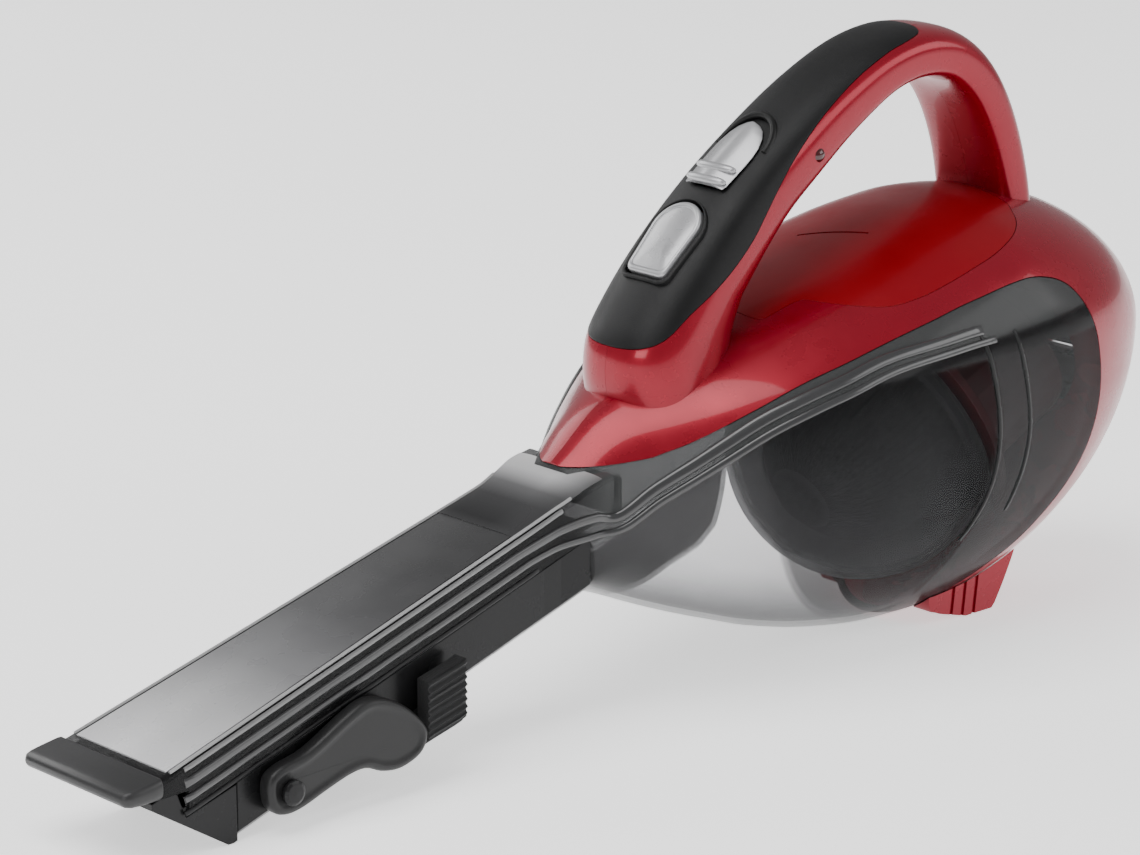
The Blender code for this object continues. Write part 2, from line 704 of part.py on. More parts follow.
# Impeller: back plate, hub and swept blades joined into one piece.
fan = turned(
    "fan_plate",
    [(1.8, -4.2), (4.6, -4.2), (5.2, -10.4), (22.5, -11.2), (22.5, -12.6), (1.8, -12.6)],
    on_axis(0), FWD, None, cutters, steps=28,
)
for i in range(9):
    base = 2 * math.pi * i / 9
    outline = []
    for r, lead in ((4.4, 0.0), (10, 0.22), (16, 0.42), (22, 0.58)):
        outline.append((r, base + lead))
    left = [(r * math.cos(a) - 0.55 * math.sin(a), r * math.sin(a) + 0.55 * math.cos(a)) for r, a in outline]
    right = [(r * math.cos(a) + 0.55 * math.sin(a), r * math.sin(a) - 0.55 * math.cos(a)) for r, a in outline]
    ring = left + right[::-1]
    blade = loft(
        f"fan_blade_{i}",
        [[on_axis(s, u[1], u[0]) for u in ring] for s in (-11.8, -4.8)],
        None,
        cutters,
    )
    boolean(fan, blade, "UNION")
settled(fan, "impeller", FRAME_BLACK)

CELLS = [(179.5, 110.5), (190.5, 92.0), (190.0, 72.6)]
for i, (y, z) in enumerate(CELLS):
    turned(
        f"battery_cell_{i + 1}",
        [(0.0, 32.5), (3.0, 32.5), (3.0, 31.2), (8.4, 31.2), (9.1, 30.4), (9.1, -32.0), (0.0, -32.0)],
        (0, y, z), (1, 0, 0), CELL, steps=18,
    )

# ------------------------------------------------------------------ foot and charge contacts
foot = prism("foot_block", [(161, 21), (151, 1.5), (149.5, 0.0), (137, 0.0), (122, 4.4), (119, 8), (119, 30), (161, 30)], -25, 25)
boolean(foot, body("foot_relief", -GAP))
for i, x in enumerate((-12, 12)):
    boolean(foot, box(f"contact_slot_{i}", (x, 146, 0.4), (6.6, 8.6, 3.2), None, cutters))
foot = settled(foot, "rear_foot", RED, smooth=False)
for side, x in (("left", 12), ("right", -12)):
    box(f"charge_contact_{side}", (x, 146, 1.05), (6, 8, 1.1), BRASS)

# ------------------------------------------------------------------ smoke bowl with the nozzle duct
def duct_rings(inset, stations, low=DUCT_HEIGHT, side=None, high=0.0, round_top=2.0):
    """Rounded rectangles across the nozzle: high and low are distances under its top face."""
    rings = []
    for y in stations:
        w = nozzle_half(y) - inset
        if side is not None:
            w = side(y)
        t, b = nozzle_top(y) - high - inset, nozzle_top(y) - low + inset
        r = round_top
        rings.append([
            (w - r, y, t), (w - 0.3 * r, y, t - 0.3 * r), (w, y, t - r), (w, y, b + 0.6), (w - 0.6, y, b),
            (-w + 0.6, y, b), (-w, y, b + 0.6), (-w, y, t - r), (-w + 0.3 * r, y, t - 0.3 * r), (-w + r, y, t),
        ])
    return rings


bowl = body("bowl_solid", 0.0)
boolean(bowl, prism("bowl_fill", bowl_profile(-GAP), -79, 79), "INTERSECT")
duct = loft("duct_solid", duct_rings(0.0, [-196, -150, -100, -60, -45, -38, -32, -26, -18]), None, cutters)
boolean(duct, prism("duct_front", [(-260, -20), (-186.6, -20), (-186.6, 20.7), (-260, 20.7)], -40, 40))
duct = settled(duct, "duct_done", None, cutters)
boolean(bowl, duct, "UNION")
hollow = body("bowl_hollow", BOWL_WALL)
roofless = prism(
    "bowl_roofless",
    offset_line(smooth_line(BOWL_EDGE, 1)[:10], -GAP - BOWL_WALL) + [(104, 140), (240, 140), (240, -40), (-60, -40)],
    -78, 78,
)
boolean(hollow, roofless, "INTERSECT")
hollow = settled(hollow, "bowl_hollow_done", None, cutters)
boolean(bowl, hollow)
duct_in = loft("duct_hollow", duct_rings(1.8, [-200, -150, -100, -60, -45, -38, -32, -26, -14]), None, cutters)
boolean(bowl, duct_in)
# window on the nozzle's top face
window_cut = loft(
    "window_pocket",
    [[(w, y, nozzle_top(y) + 3), (w, y, nozzle_top(y) - 0.7), (-w, y, nozzle_top(y) - 0.7), (-w, y, nozzle_top(y) + 3)]
     for y in (-193, -150, -100, -56) for w in [nozzle_half(y) - 2.6]],
    None, cutters,
)
boolean(bowl, window_cut)
settled(bowl, "dust_bowl", SMOKE)
loft(
    "nozzle_window",
    [[(w, y, nozzle_top(y) + 0.15), (w, y, nozzle_top(y) - 0.4), (-w, y, nozzle_top(y) - 0.4), (-w, y, nozzle_top(y) + 0.15)]
     for y in (-192.6, -150, -100, -56.4) for w in [nozzle_half(y) - 2.9]],
    SATIN,
)
# lip across the nozzle's mouth
lip_rings = []
for y, half, top, low in ((-210, 23.2, 24.6, 21.6), (-208.5, 24.6, 25.3, 20.6), (-203, 25.2, 26.0, 20.4), (-196.4, 25.2, 26.9, 20.6)):
    lip_rings.append([(half, y, (top + low) / 2), (half - 1.6, y, top), (-half + 1.6, y, top), (-half, y, (top + low) / 2), (-half + 1.2, y, low), (half - 1.2, y, low)])
loft("nozzle_lip", lip_rings, GREY)

# dark lower channel that carries the crevice tool
def channel_rings(half_less, high, low, stations):
    return [
        [(w, y, nozzle_top(y) - high), (w, y, nozzle_top(y) - low + 2.4), (w - 2.4, y, nozzle_top(y) - low),
         (-w + 2.4, y, nozzle_top(y) - low), (-w, y, nozzle_top(y) - low + 2.4), (-w, y, nozzle_top(y) - high)]
        for y in stations for w in [nozzle_half(y) - half_less]
    ]


channel = loft("channel_solid", channel_rings(0.8, DUCT_HEIGHT + GAP, NOZZLE_HEIGHT, [-168, -120, -80, -45, -38, -27]), None, cutters)
boolean(channel, loft("channel_hollow", channel_rings(2.8, DUCT_HEIGHT + 2.2, NOZZLE_HEIGHT - 2.0, [-175, -120, -80, -45, -38, -33]), None, cutters))
boolean(channel, box("latch_window", (0, -66, nozzle_top(-66) - NOZZLE_HEIGHT + 1), (13, 15, 8), None, cutters))
for i, s in enumerate((1, -1)):
    boolean(channel, cylinder(f"pivot_bore_{i}", (s * 16, *BRUSH_PIVOT), (s, 0, 0), 2.0, 14, None, cutters, 20))
settled(channel, "nozzle_channel", DARK, smooth=False)

# crevice tool: long hollow tube with a slanted head
tool = loft("tool_solid", channel_rings(3.3, DUCT_HEIGHT + 2.7, NOZZLE_HEIGHT - 2.5, [-185, -120, -80, -45]), None, cutters)
head_top = nozzle_top(-196) - DUCT_HEIGHT
head = prism(
    "tool_head",
    [(-196, 20.2), (-190, 20.2), (-187, nozzle_top(-187) - DUCT_HEIGHT - 0.5), (-168.6, nozzle_top(-168.6) - DUCT_HEIGHT - 0.5),
     (-168.6, nozzle_top(-168.6) - NOZZLE_HEIGHT), (-170, 0.0), (-172, 0.0), (-199, 17.4), (-199, 19.2)],
    -22.6, 22.6,
)
boolean(tool, head, "UNION")
tool = settled(tool, "tool_done", None, cutters)
bore = loft("tool_bore", channel_rings(4.9, DUCT_HEIGHT + 4.3, NOZZLE_HEIGHT - 4.1, [-180, -120, -80, -40]), None, cutters)
boolean(tool, bore)
mouth_cut = prism("tool_mouth", [(-215, 17.4), (-192, 17.4), (-181, 17.0), (-172, 12.5), (-172, 4.4), (-177, -3), (-215, 0)], -20.6, 20.6)
boolean(tool, mouth_cut)
boolean(tool, box("tool_notch", (0, -66, nozzle_top(-66) - NOZZLE_HEIGHT + 3.4), (13.6, 18, 4.6), None, cutters, z_dir=(0, -NOZZLE_SLOPE, 1)))
settled(tool, "crevice_tool", DARK, smooth=False)

button_z = nozzle_top(-66) - NOZZLE_HEIGHT
slope_x = Vector((0, 1, NOZZLE_SLOPE)).normalized()
slope_n = Vector((0, -NOZZLE_SLOPE, 1)).normalized()
box("crevice_release", (0, -66, button_z + 0.2), (12, 13, 3.2), GREY, z_dir=slope_n, bevel=0.6)

# rubber inlet flap at the end of the duct
box("inlet_flap", (0, -11.2, 69.6), (31, 1.2, 12.5), RUBBER)

# ------------------------------------------------------------------ filter set on the tilted axis
turned("filter_seal", [(38, 3.0), (38, 0.35), (31, 0.35), (31, 3.0)], on_axis(0), FWD, RUBBER, steps=28)
cup = [
    (0.0, 60.0), (16.0, 58.2), (30.0, 51.8), (39.5, 41.0), (44.0, 25.0), (42.8, 10.0),
    (45.5, 7.6), (45.5, 3.4), (41.0, 3.4),
    (42.2, 25.0), (37.8, 40.0), (28.8, 50.2), (15.4, 56.2), (0.0, 58.0),
]
turned("prefilter_cup", cup, on_axis(0), FWD, SMOKE, steps=32)
# pleated filter: folded wall on a truncated cone with a closed nose
PLEATS = 30


def pleat_ring(r_out, r_in, s):
    ring = []
    for i in range(2 * PLEATS):
        a = math.pi * i / PLEATS
        r = r_out if i % 2 == 0 else r_in
        ring.append(on_axis(s, r * math.cos(a), r * math.sin(a)))
    return ring


pleats = loft("pleat_solid", [pleat_ring(38.5, 34.0, 3.6), pleat_ring(38.5, 34.0, 9), pleat_ring(36.5, 31.5, 26), pleat_ring(31, 26.5, 40), pleat_ring(22, 19, 49)], None, cutters)
boolean(
    pleats,
    turned("pleat_hollow", [(0.0, 46.0), (15.5, 46.0), (24.0, 38.0), (29.0, 25.0), (31.0, 9.0), (31.0, 0.0), (0.0, 0.0)], on_axis(0), FWD, None, cutters, steps=24),
)
settled(pleats, "pleated_filter", PAPER, smooth=False)
turned("filter_cap", [(0.0, 53.4), (16.0, 52.6), (20.0, 51.0), (20.0, 49.4), (0.0, 49.4)], on_axis(0), FWD, FRAME_BLACK, steps=32)

# ------------------------------------------------------------------ flip brush
ARM = [
    (-160.5, 18), (-160.8, 12), (-158.5, 7.5), (-154, 6.0), (-148, 6.8), (-130, 12.4), (-124, 12.6), (-118, 10.2), (-108, 10.2), (-102.6, 12.6),
    (-100.4, 16.5), (-101.0, 20.5), (-106.0, 26.3), (-112, 30.4), (-120, 33.6), (-125, 33.6), (-133, 30.5), (-146, 23.6), (-156, 21.4),
]
arm_l = prism("arm_l", ARM, 23.3, 28.6)
arm_r = prism("arm_r", ARM, -28.6, -23.3)
bridge = prism(
    "brush_bridge",
    [(-113, 10.6), (-103, 12.9), (-101.2, 15.2), (-101.6, nozzle_top(-101.6) - NOZZLE_HEIGHT - 0.8), (-113, nozzle_top(-113) - NOZZLE_HEIGHT - 0.8)],
    -25, 25,
)
boolean(arm_l, bridge, "UNION")
boolean(arm_l, arm_r, "UNION")
for i, s in enumerate((1, -1)):
    boolean(arm_l, cylinder(f"arm_bore_{i}", (s * 20, *BRUSH_PIVOT), (s, 0, 0), 2.75, 14, None, cutters, 24))
settled(arm_l, "brush_frame", GREY, smooth=False)
# bristle strip: a ribbed U that wraps under the nozzle
outer, inner = [], []
u_pts = [(28.2, 32.5), (28.2, 16), (24.5, 12.6), (-24.5, 12.6), (-28.2, 16), (-28.2, 32.5), (-22.2, 32.5), (-22.2, 18.6), (-21, 17.4), (21, 17.4), (22.2, 18.6), (22.2, 32.5)]
bristle = loft(
    "bristle_solid",
    [[(x, y, z + lift) for x, z in u_pts] for y, lift in ((-100.0, 0.0), (-84.5, 4.0))],
    None,
    cutters,
)
arm_clear = prism("arm_clear", [(-130, 5), (-100.05, 5), (-99.9, 16.5), (-100.5, 21), (-105.6, 26.8), (-111, 36), (-130, 40)], -35, 35)
boolean(bristle, arm_clear)
settled(bristle, "brush_bristles", BRISTLE, smooth=False)
for side, s in (("left", 1), ("right", -1)):
    turned(
        f"brush_pin_{side}",
        [(0.0, 8.6), (2.9, 8.4), (3.9, 7.9), (3.9, 6.8), (2.5, 6.8), (2.5, 1.2), (1.75, 1.0), (1.75, -1.6), (0.0, -1.6)],
        (s * 22.1, *BRUSH_PIVOT), (s, 0, 0), DARK, steps=16,
    )

# ------------------------------------------------------------------ origin
for obj in parts.objects:
    obj.location.y -= MIDDLE * TO_M
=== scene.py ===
"""Looks of the handheld vacuum: fine shells, nozzle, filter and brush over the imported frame."""

import math

import bmesh
import bpy
import numpy as np
from mathutils import Matrix, Vector


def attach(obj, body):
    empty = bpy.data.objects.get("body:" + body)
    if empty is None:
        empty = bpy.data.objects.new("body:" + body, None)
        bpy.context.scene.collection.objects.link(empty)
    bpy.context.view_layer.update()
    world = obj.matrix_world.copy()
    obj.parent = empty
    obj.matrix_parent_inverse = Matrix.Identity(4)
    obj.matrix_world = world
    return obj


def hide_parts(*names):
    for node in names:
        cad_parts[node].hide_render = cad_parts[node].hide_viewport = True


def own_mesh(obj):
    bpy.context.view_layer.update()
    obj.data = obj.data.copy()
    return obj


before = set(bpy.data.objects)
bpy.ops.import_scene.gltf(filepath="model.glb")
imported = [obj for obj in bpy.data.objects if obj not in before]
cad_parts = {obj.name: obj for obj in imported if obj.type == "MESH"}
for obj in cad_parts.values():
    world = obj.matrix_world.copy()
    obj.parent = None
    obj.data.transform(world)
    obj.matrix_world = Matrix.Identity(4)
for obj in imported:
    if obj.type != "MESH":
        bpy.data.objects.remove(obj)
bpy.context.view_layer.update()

# ------------------------------------------------------------------ driving dimensions (mm)
BODY_FRONT, BODY_WIDEST, BODY_END = -26.0, 115.0, 221.0
BODY_HALF_WIDTH = 58.0
WALL = 2.5  # red housing wall
BOWL_WALL = 2.0  # smoke bowl wall
GAP = 0.35  # gap between touching pieces
NOZZLE_TIP, NOZZLE_NECK = -196.0, -40.0
NOZZLE_TIP_Z, NOZZLE_SLOPE = 26.1, 0.294
DUCT_HEIGHT, NOZZLE_HEIGHT = 16.0, 33.7
AXIS_TILT = math.radians(26.0)  # bowl, filter, fan and motor share one axis
AXIS_POINT = (0.0, 125.0, 66.0)  # where it crosses the filter seat
SWITCH_TRAVEL, BUTTON_TRAVEL = 6.0, 2.5
BRUSH_PIVOT = (-153.0, 13.0)  # Y, Z
MIDDLE = 5.5  # Y of the middle of the length, in the design tables
TO_M = 0.001

FWD = Vector((0, -math.cos(AXIS_TILT), -math.sin(AXIS_TILT)))  # out of the bowl, forwards
RISE = Vector((0, -math.sin(AXIS_TILT), math.cos(AXIS_TILT)))


# ------------------------------------------------------------------ maths helpers
def curve_through(xs, ys):
    """Monotone cubic through design stations."""
    xs, ys = np.array(xs, float), np.array(ys, float)
    h = np.diff(xs)
    d = np.diff(ys) / h
    m = np.zeros(len(xs))
    m[0], m[-1] = d[0], d[-1]
    for i in range(1, len(xs) - 1):
        if d[i - 1] * d[i] > 0:
            w1, w2 = 2 * h[i] + h[i - 1], h[i] + 2 * h[i - 1]
            m[i] = (w1 + w2) / (w1 / d[i - 1] + w2 / d[i])

    def value(x):
        x = float(min(max(x, xs[0]), xs[-1]))
        i = int(min(max(np.searchsorted(xs, x) - 1, 0), len(xs) - 2))
        t = (x - xs[i]) / h[i]
        return float(
            (1 + 2 * t) * (1 - t) ** 2 * ys[i]
            + t * (1 - t) ** 2 * h[i] * m[i]
            + t * t * (3 - 2 * t) * ys[i + 1]
            + t * t * (t - 1) * h[i] * m[i + 1]
        )

    return value


body_half = curve_through([-26, -10, 4, 20, 40, 60, 80, 100, 115], [20, 26, 34.5, 43, 51, 55.5, 57.5, 58, 58])
body_top = curve_through(
    [-26, -20, -14, -8, 0, 20, 43, 60, 80, 100, 120, 140],
    [80.5, 85, 90, 94, 98, 106.5, 115.5, 122, 128, 133.5, 138, 140.5],
)
body_wide = curve_through([-26, -8, 4, 29, 60, 95, 130, 221], [50, 61, 69, 82.6, 92, 97.8, 98, 90])
body_low = curve_through([-26, -10, 5, 20, 38, 52, 80, 100, 115], [41, 35, 28.5, 22.4, 15.8, 10.9, 4.2, 1.5, 1.0])


def body_section(y):
    """Half width, top, widest height and bottom of the body at station y."""
    if y <= BODY_WIDEST:
        w, low = body_half(y), body_low(y)
    else:
        t = min((y - BODY_WIDEST) / (BODY_END - BODY_WIDEST), 1.0)
        w = BODY_HALF_WIDTH * (1 - t**2.4) ** (1 / 2.4)
        low = 88 - 87 * math.sqrt(max(1 - t * t, 0))
    if y <= 140:
        top = body_top(y)
    else:
        top = 92 + 48.5 * math.sqrt(max(1 - ((y - 140) / (BODY_END - 140)) ** 2, 0))
    return w, top, body_wide(y), low


def body_rings(inset, count, stations):
    """Closed rings round the body, drawn in by inset."""
    rings = []
    for y in stations:
        w, top, wide, low = body_section(y)
        w, top, low = max(w - inset, 0.6), top - inset, low + inset
        wide = min(max(wide, low + 0.5), top - 0.5)
        ring = []
        for i in range(count):
            a = 2 * math.pi * i / count
            c = math.cos(a)
            ring.append((w * math.sin(a), y, wide + ((top - wide) if c >= 0 else (wide - low)) * c))
        rings.append(ring)
    return rings


def body_half_at(y, z):
    w, top, wide, low = body_section(y)
    t = (z - wide) / (top - wide) if z > wide else (wide - z) / (wide - low)
    return w * math.sqrt(max(1 - t * t, 0))


# Handle: crest and soffit lines (Y, Z) with the half width, from the stem to the tail.
HANDLE = [
    ((1, 88), (32, 94), 21.5),
    ((-3, 99), (37.5, 104), 21),
    ((-3.4, 106), (40, 110), 20.8),
    ((-2.5, 113), (41.5, 115), 20.5),
    ((4.5, 123), (44, 121), 20.2),
    ((14, 134), (47.5, 129), 19.8),
    ((30.6, 150), (54.5, 139), 18.8),
    ((48, 164), (64, 149), 17.8),
    ((65.6, 175.7), (76.5, 158), 17.2),
    ((79, 183.6), (87.5, 166), 16.8),
    ((92.5, 190), (99, 173), 16.5),
    ((107, 195.3), (110.5, 179), 16.3),
    ((123, 197.8), (122.5, 181.5), 16.2),
    ((138, 196.3), (133, 180.5), 16.2),
    ((151, 190), (141.5, 175.5), 16.3),
    ((161, 179.5), (148.5, 168), 16.5),
    ((168.5, 166), (154, 158), 16.8),
    ((174, 149), (158.5, 146), 17.2),
    ((176.5, 134), (161, 134), 17.8),
    ((177, 120), (162, 122), 18.5),
    ((174, 106), (160, 110), 18.5),
]
_k = list(range(len(HANDLE)))
handle_cy = curve_through(_k, [h[0][0] for h in HANDLE])
handle_cz = curve_through(_k, [h[0][1] for h in HANDLE])
handle_sy = curve_through(_k, [h[1][0] for h in HANDLE])
handle_sz = curve_through(_k, [h[1][1] for h in HANDLE])
handle_a = curve_through(_k, [h[2] for h in HANDLE])


def handle_rings(inset, count, params, power=2.5):
    rings = []
    for k in params:
        crest = np.array([handle_cy(k), handle_cz(k)])
        soffit = np.array([handle_sy(k), handle_sz(k)])
        mid, up = (crest + soffit) / 2, (crest - soffit) / 2
        h = np.linalg.norm(up)
        up = up / h * (h - inset)
        a = handle_a(k) - inset
        ring = []
        for i in range(count):
            t = 2 * math.pi * i / count
            s, c = math.sin(t), math.cos(t)
            x = a * math.copysign(abs(s) ** (2 / power), s)
            u = math.copysign(abs(c) ** (2 / power), c)
            ring.append((x, mid[0] + up[0] * u, mid[1] + up[1] * u))
        rings.append(ring)
    return rings


# Side profile of the space the bowl fills (Y, Z): its upper edge under the red shoulder,
# round inside the tail and forwards above the foot.
BOWL_EDGE = [
    (-60, 80), (-26, 80), (-8, 82.1), (-1.3, 84.2), (7.7, 87.8), (23, 94.8), (39.4, 101.5),
    (57, 106.8), (76.6, 111.7), (98.8, 115.9), (113, 118), (128, 119.8), (139.7, 120.0),
    (150.7, 117.1), (158, 110.9), (164.5, 99.5), (169.7, 83), (171.6, 68), (170.2, 55),
    (165.2, 44), (157.4, 34.1), (149.6, 26), (142, 21), (135, 16.5), (127, 11), (118, 4.5), (105, -6),
]


def smooth_line(points, per=3):
    """Catmull-Rom through the points of an open line."""
    out = []
    for i in range(len(points) - 1):
        p0 = np.array(points[max(i - 1, 0)], float)
        p1, p2 = np.array(points[i], float), np.array(points[i + 1], float)
        p3 = np.array(points[min(i + 2, len(points) - 1)], float)
        for j in range(per):
            t = j / per
            out.append(
                tuple(
                    0.5
                    * (
                        2 * p1
                        + (p2 - p0) * t
                        + (2 * p0 - 5 * p1 + 4 * p2 - p3) * t * t
                        + (3 * p1 - p0 - 3 * p2 + p3) * t**3
                    )
                )
            )
    out.append(tuple(points[-1]))
    return out


def offset_line(points, by):
    """Moves an open line sideways, to the left of its direction for by > 0."""
    pts = np.array(points, float)
    out = []
    for i in range(len(pts)):
        a, b = pts[max(i - 1, 0)], pts[min(i + 1, len(pts) - 1)]
        d = (b - a) / np.linalg.norm(b - a)
        out.append(tuple(pts[i] + by * np.array([-d[1], d[0]])))
    return out


def bowl_profile(grow):
    """Closed side profile of the bowl's space, grown by grow towards the housing."""
    line = offset_line(smooth_line(BOWL_EDGE, 1), grow)
    return line + [(105, -40), (-260, -40), (-260, 80 + grow)]


def nozzle_half(y):
    if y <= NOZZLE_NECK:
        return 24 - (y - NOZZLE_TIP) / (NOZZLE_NECK - NOZZLE_TIP) * 5.5
    return 18.5 + 1.5 * min((y - NOZZLE_NECK) / 14, 1)


nozzle_rise = curve_through([-50, -40, -33, -26, -18, -10], [0, 0.15, 0.8, 1.6, 0.9, 0])


def nozzle_top(y):
    return NOZZLE_TIP_Z + NOZZLE_SLOPE * (y - NOZZLE_TIP) + (nozzle_rise(y) if y > -50 else 0)


# ------------------------------------------------------------------ mesh helpers
made = {}


def place(p):
    return Vector((p[0] * TO_M, (p[1] - MIDDLE) * TO_M, p[2] * TO_M))


def new_obj(name, mesh):
    obj = bpy.data.objects.new(name, mesh)
    bpy.context.scene.collection.objects.link(obj)
    return obj


def raw(name, verts, faces):
    mesh = bpy.data.meshes.new(name)
    bm = bmesh.new()
    vs = [bm.verts.new(place(v)) for v in verts]
    for f in faces:
        bm.faces.new([vs[i] for i in f])
    bmesh.ops.recalc_face_normals(bm, faces=bm.faces)
    if bm.calc_volume(signed=True) < 0:
        bmesh.ops.reverse_faces(bm, faces=bm.faces)
    bm.to_mesh(mesh)
    bm.free()
    return new_obj(name, mesh)


def loft(name, rings, pole=None, pole_start=None):
    n = len(rings[0])
    verts = [v for ring in rings for v in ring]
    faces = []
    for r in range(len(rings) - 1):
        for i in range(n):
            j = (i + 1) % n
            faces.append((r * n + i, r * n + j, (r + 1) * n + j, (r + 1) * n + i))
    last = (len(rings) - 1) * n
    for start, point in ((0, pole_start), (last, pole)):
        if point is None:
            faces.append(tuple(start + i for i in range(n)))
        else:
            verts.append(point)
            faces += [(start + i, start + (i + 1) % n, len(verts) - 1) for i in range(n)]
    return raw(name, verts, faces)


def prism(name, outline, lo, hi, frame_axis="x"):
    def at(p, h):
        return (h, p[0], p[1]) if frame_axis == "x" else (p[0], p[1], h)

    return loft(name, [[at(p, lo) for p in outline], [at(p, hi) for p in outline]])


def axes(z_dir, x_dir=(1, 0, 0)):
    z = Vector(z_dir).normalized()
    x = Vector(x_dir)
    if abs(z.dot(x.normalized())) > 0.95:
        x = Vector((0, 1, 0))
    x = (x - z * x.dot(z)).normalized()
    return x, z.cross(x), z


def block(name, centre, size, z_dir=(0, 0, 1), x_dir=(1, 0, 0)):
    x, y, z = axes(z_dir, x_dir)
    c = Vector(centre)
    sx, sy, sz = (s / 2 for s in size)
    rings = [[c + x * (u * sx) + y * (v * sy) + z * (w * sz) for u, v in ((1, 1), (-1, 1), (-1, -1), (1, -1))] for w in (-1, 1)]
    return loft(name, rings)


def turned(name, profile, origin, axis, steps=96, twist=0.0):
    """Profile (radius, height) spun about axis; a closed loop when it starts off the axis."""
    x, y, z = axes(axis)
    o = Vector(origin)
    closed = profile[0][0] > 1e-6
    rings = [[o + x * (r * math.cos(a)) + y * (r * math.sin(a)) + z * h for a in np.linspace(0, 2 * math.pi, steps, endpoint=False)] for r, h in profile if r > 1e-6]
    if closed:
        n = steps
        verts = [v for ring in rings for v in ring]
        m = len(rings)
        faces = [(r * n + i, r * n + (i + 1) % n, ((r + 1) % m) * n + (i + 1) % n, ((r + 1) % m) * n + i) for r in range(m) for i in range(n)]
        return raw(name, verts, faces)
    first = o + z * profile[0][1]
    last = o + z * profile[-1][1]
    return loft(name, rings, pole=last, pole_start=first)


def combine(obj, other, operation="DIFFERENCE", keep=False):
    """Applies one Boolean to obj's mesh."""
    for solver in ("EXACT", "MANIFOLD"):
        mod = obj.modifiers.new("b", "BOOLEAN")
        mod.operation = operation
        mod.object = other
        mod.solver = solver
        bpy.context.view_layer.update()
        graph = bpy.context.evaluated_depsgraph_get()
        mesh = bpy.data.meshes.new_from_object(obj.evaluated_get(graph))
        obj.modifiers.remove(mod)
        if len(mesh.polygons):
            break
    old = obj.data
    obj.data = mesh
    bpy.data.meshes.remove(old)
    if not keep:
        bpy.data.objects.remove(other)
    return obj


def clone(obj, name):
    return new_obj(name, obj.data.copy())


def half_of(obj, name, x, side=1):
    bm = bmesh.new()
    bm.from_mesh(obj.data)
    bmesh.ops.remove_doubles(bm, verts=bm.verts, dist=1e-6)
    bmesh.ops.bisect_plane(
        bm, geom=bm.verts[:] + bm.edges[:] + bm.faces[:], dist=1e-8, plane_co=(x * TO_M * side, 0, 0), plane_no=(side, 0, 0), clear_inner=True
    )
    rim = [e for e in bm.edges if e.is_boundary]
    bmesh.ops.edgeloop_fill(bm, edges=rim)
    bmesh.ops.recalc_face_normals(bm, faces=bm.faces)
    mesh = bpy.data.meshes.new(name)
    bm.to_mesh(mesh)
    bm.free()
    return new_obj(name, mesh)


def finish(obj, name, body, mat, nodes=(), smooth=True, angle=35.0, soften=0.0):
    """Names a piece, shades it, lets it ride and swaps it for its CAD nodes."""
    obj.name = obj.data.name = name
    obj.data.materials.clear()
    obj.data.materials.append(mat)
    if smooth:
        obj.data.shade_smooth()
        obj.data.set_sharp_from_angle(angle=math.radians(angle))
    if soften:
        mod = obj.modifiers.new("edge", "BEVEL")
        mod.width = soften * TO_M
        mod.segments = 2
        mod.limit_method = "ANGLE"
        mod.angle_limit = math.radians(40)
        mod.harden_normals = False
    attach(obj, body)
    if nodes:
        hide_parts(*nodes)
    made[name] = obj
    return obj


def on_axis(s, up=0.0, x=0.0):
    p = Vector(AXIS_POINT) + FWD * s + RISE * up
    return (p.x + x, p.y, p.z)


# ------------------------------------------------------------------ materials
def nodes_of(name):
    m = bpy.data.materials.new(name)
    m.use_nodes = True
    nt = m.node_tree
    nt.nodes.clear()
    out = nt.nodes.new("ShaderNodeOutputMaterial")
    p = nt.nodes.new("ShaderNodeBsdfPrincipled")
    nt.links.new(p.outputs[0], out.inputs["Surface"])
    coord = nt.nodes.new("ShaderNodeTexCoord")
    return m, nt, p, out, coord


def noise(nt, coord, scale, detail=3.0, rough=0.5, stretch=None):
    n = nt.nodes.new("ShaderNodeTexNoise")
    n.inputs["Scale"].default_value = scale
    n.inputs["Detail"].default_value = detail
    n.inputs["Roughness"].default_value = rough
    if stretch:
        mp = nt.nodes.new("ShaderNodeMapping")
        mp.inputs["Scale"].default_value = stretch
        nt.links.new(coord.outputs["Object"], mp.inputs["Vector"])
        nt.links.new(mp.outputs[0], n.inputs["Vector"])
    else:
        nt.links.new(coord.outputs["Object"], n.inputs["Vector"])
    return n.outputs["Fac"]


def remap(nt, fac, lo, hi, a=0.3, b=0.7):
    r = nt.nodes.new("ShaderNodeMapRange")
    for key, v in (("From Min", a), ("From Max", b), ("To Min", lo), ("To Max", hi)):
        r.inputs[key].default_value = v
    nt.links.new(fac, r.inputs["Value"])
    return r.outputs["Result"]


def ramp(nt, fac, stops):
    r = nt.nodes.new("ShaderNodeValToRGB")
    el = r.color_ramp.elements
    while len(el) > 1:
        el.remove(el[-1])
    el[0].position, el[0].color = stops[0][0], (*stops[0][1], 1)
    for pos, c in stops[1:]:
        e = el.new(pos)
        e.color = (*c, 1)
    nt.links.new(fac, r.inputs["Fac"])
    return r.outputs["Color"]


def mix_colour(nt, fac, a, b, kind="MIX"):
    m = nt.nodes.new("ShaderNodeMix")
    m.data_type = "RGBA"
    m.blend_type = kind
    for key, v in ((6, a), (7, b)):
        if isinstance(v, tuple):
            m.inputs[key].default_value = (*v, 1)
        else:
            nt.links.new(v, m.inputs[key])
    if isinstance(fac, float):
        m.inputs[0].default_value = fac
    else:
        nt.links.new(fac, m.inputs[0])
    return m.outputs[2]


def bump(nt, height, strength, distance, normal=None):
    b = nt.nodes.new("ShaderNodeBump")
    b.inputs["Strength"].default_value = strength
    b.inputs["Distance"].default_value = distance
    nt.links.new(height, b.inputs["Height"])
    if normal is not None:
        nt.links.new(normal, b.inputs["Normal"])
    return b.outputs[0]


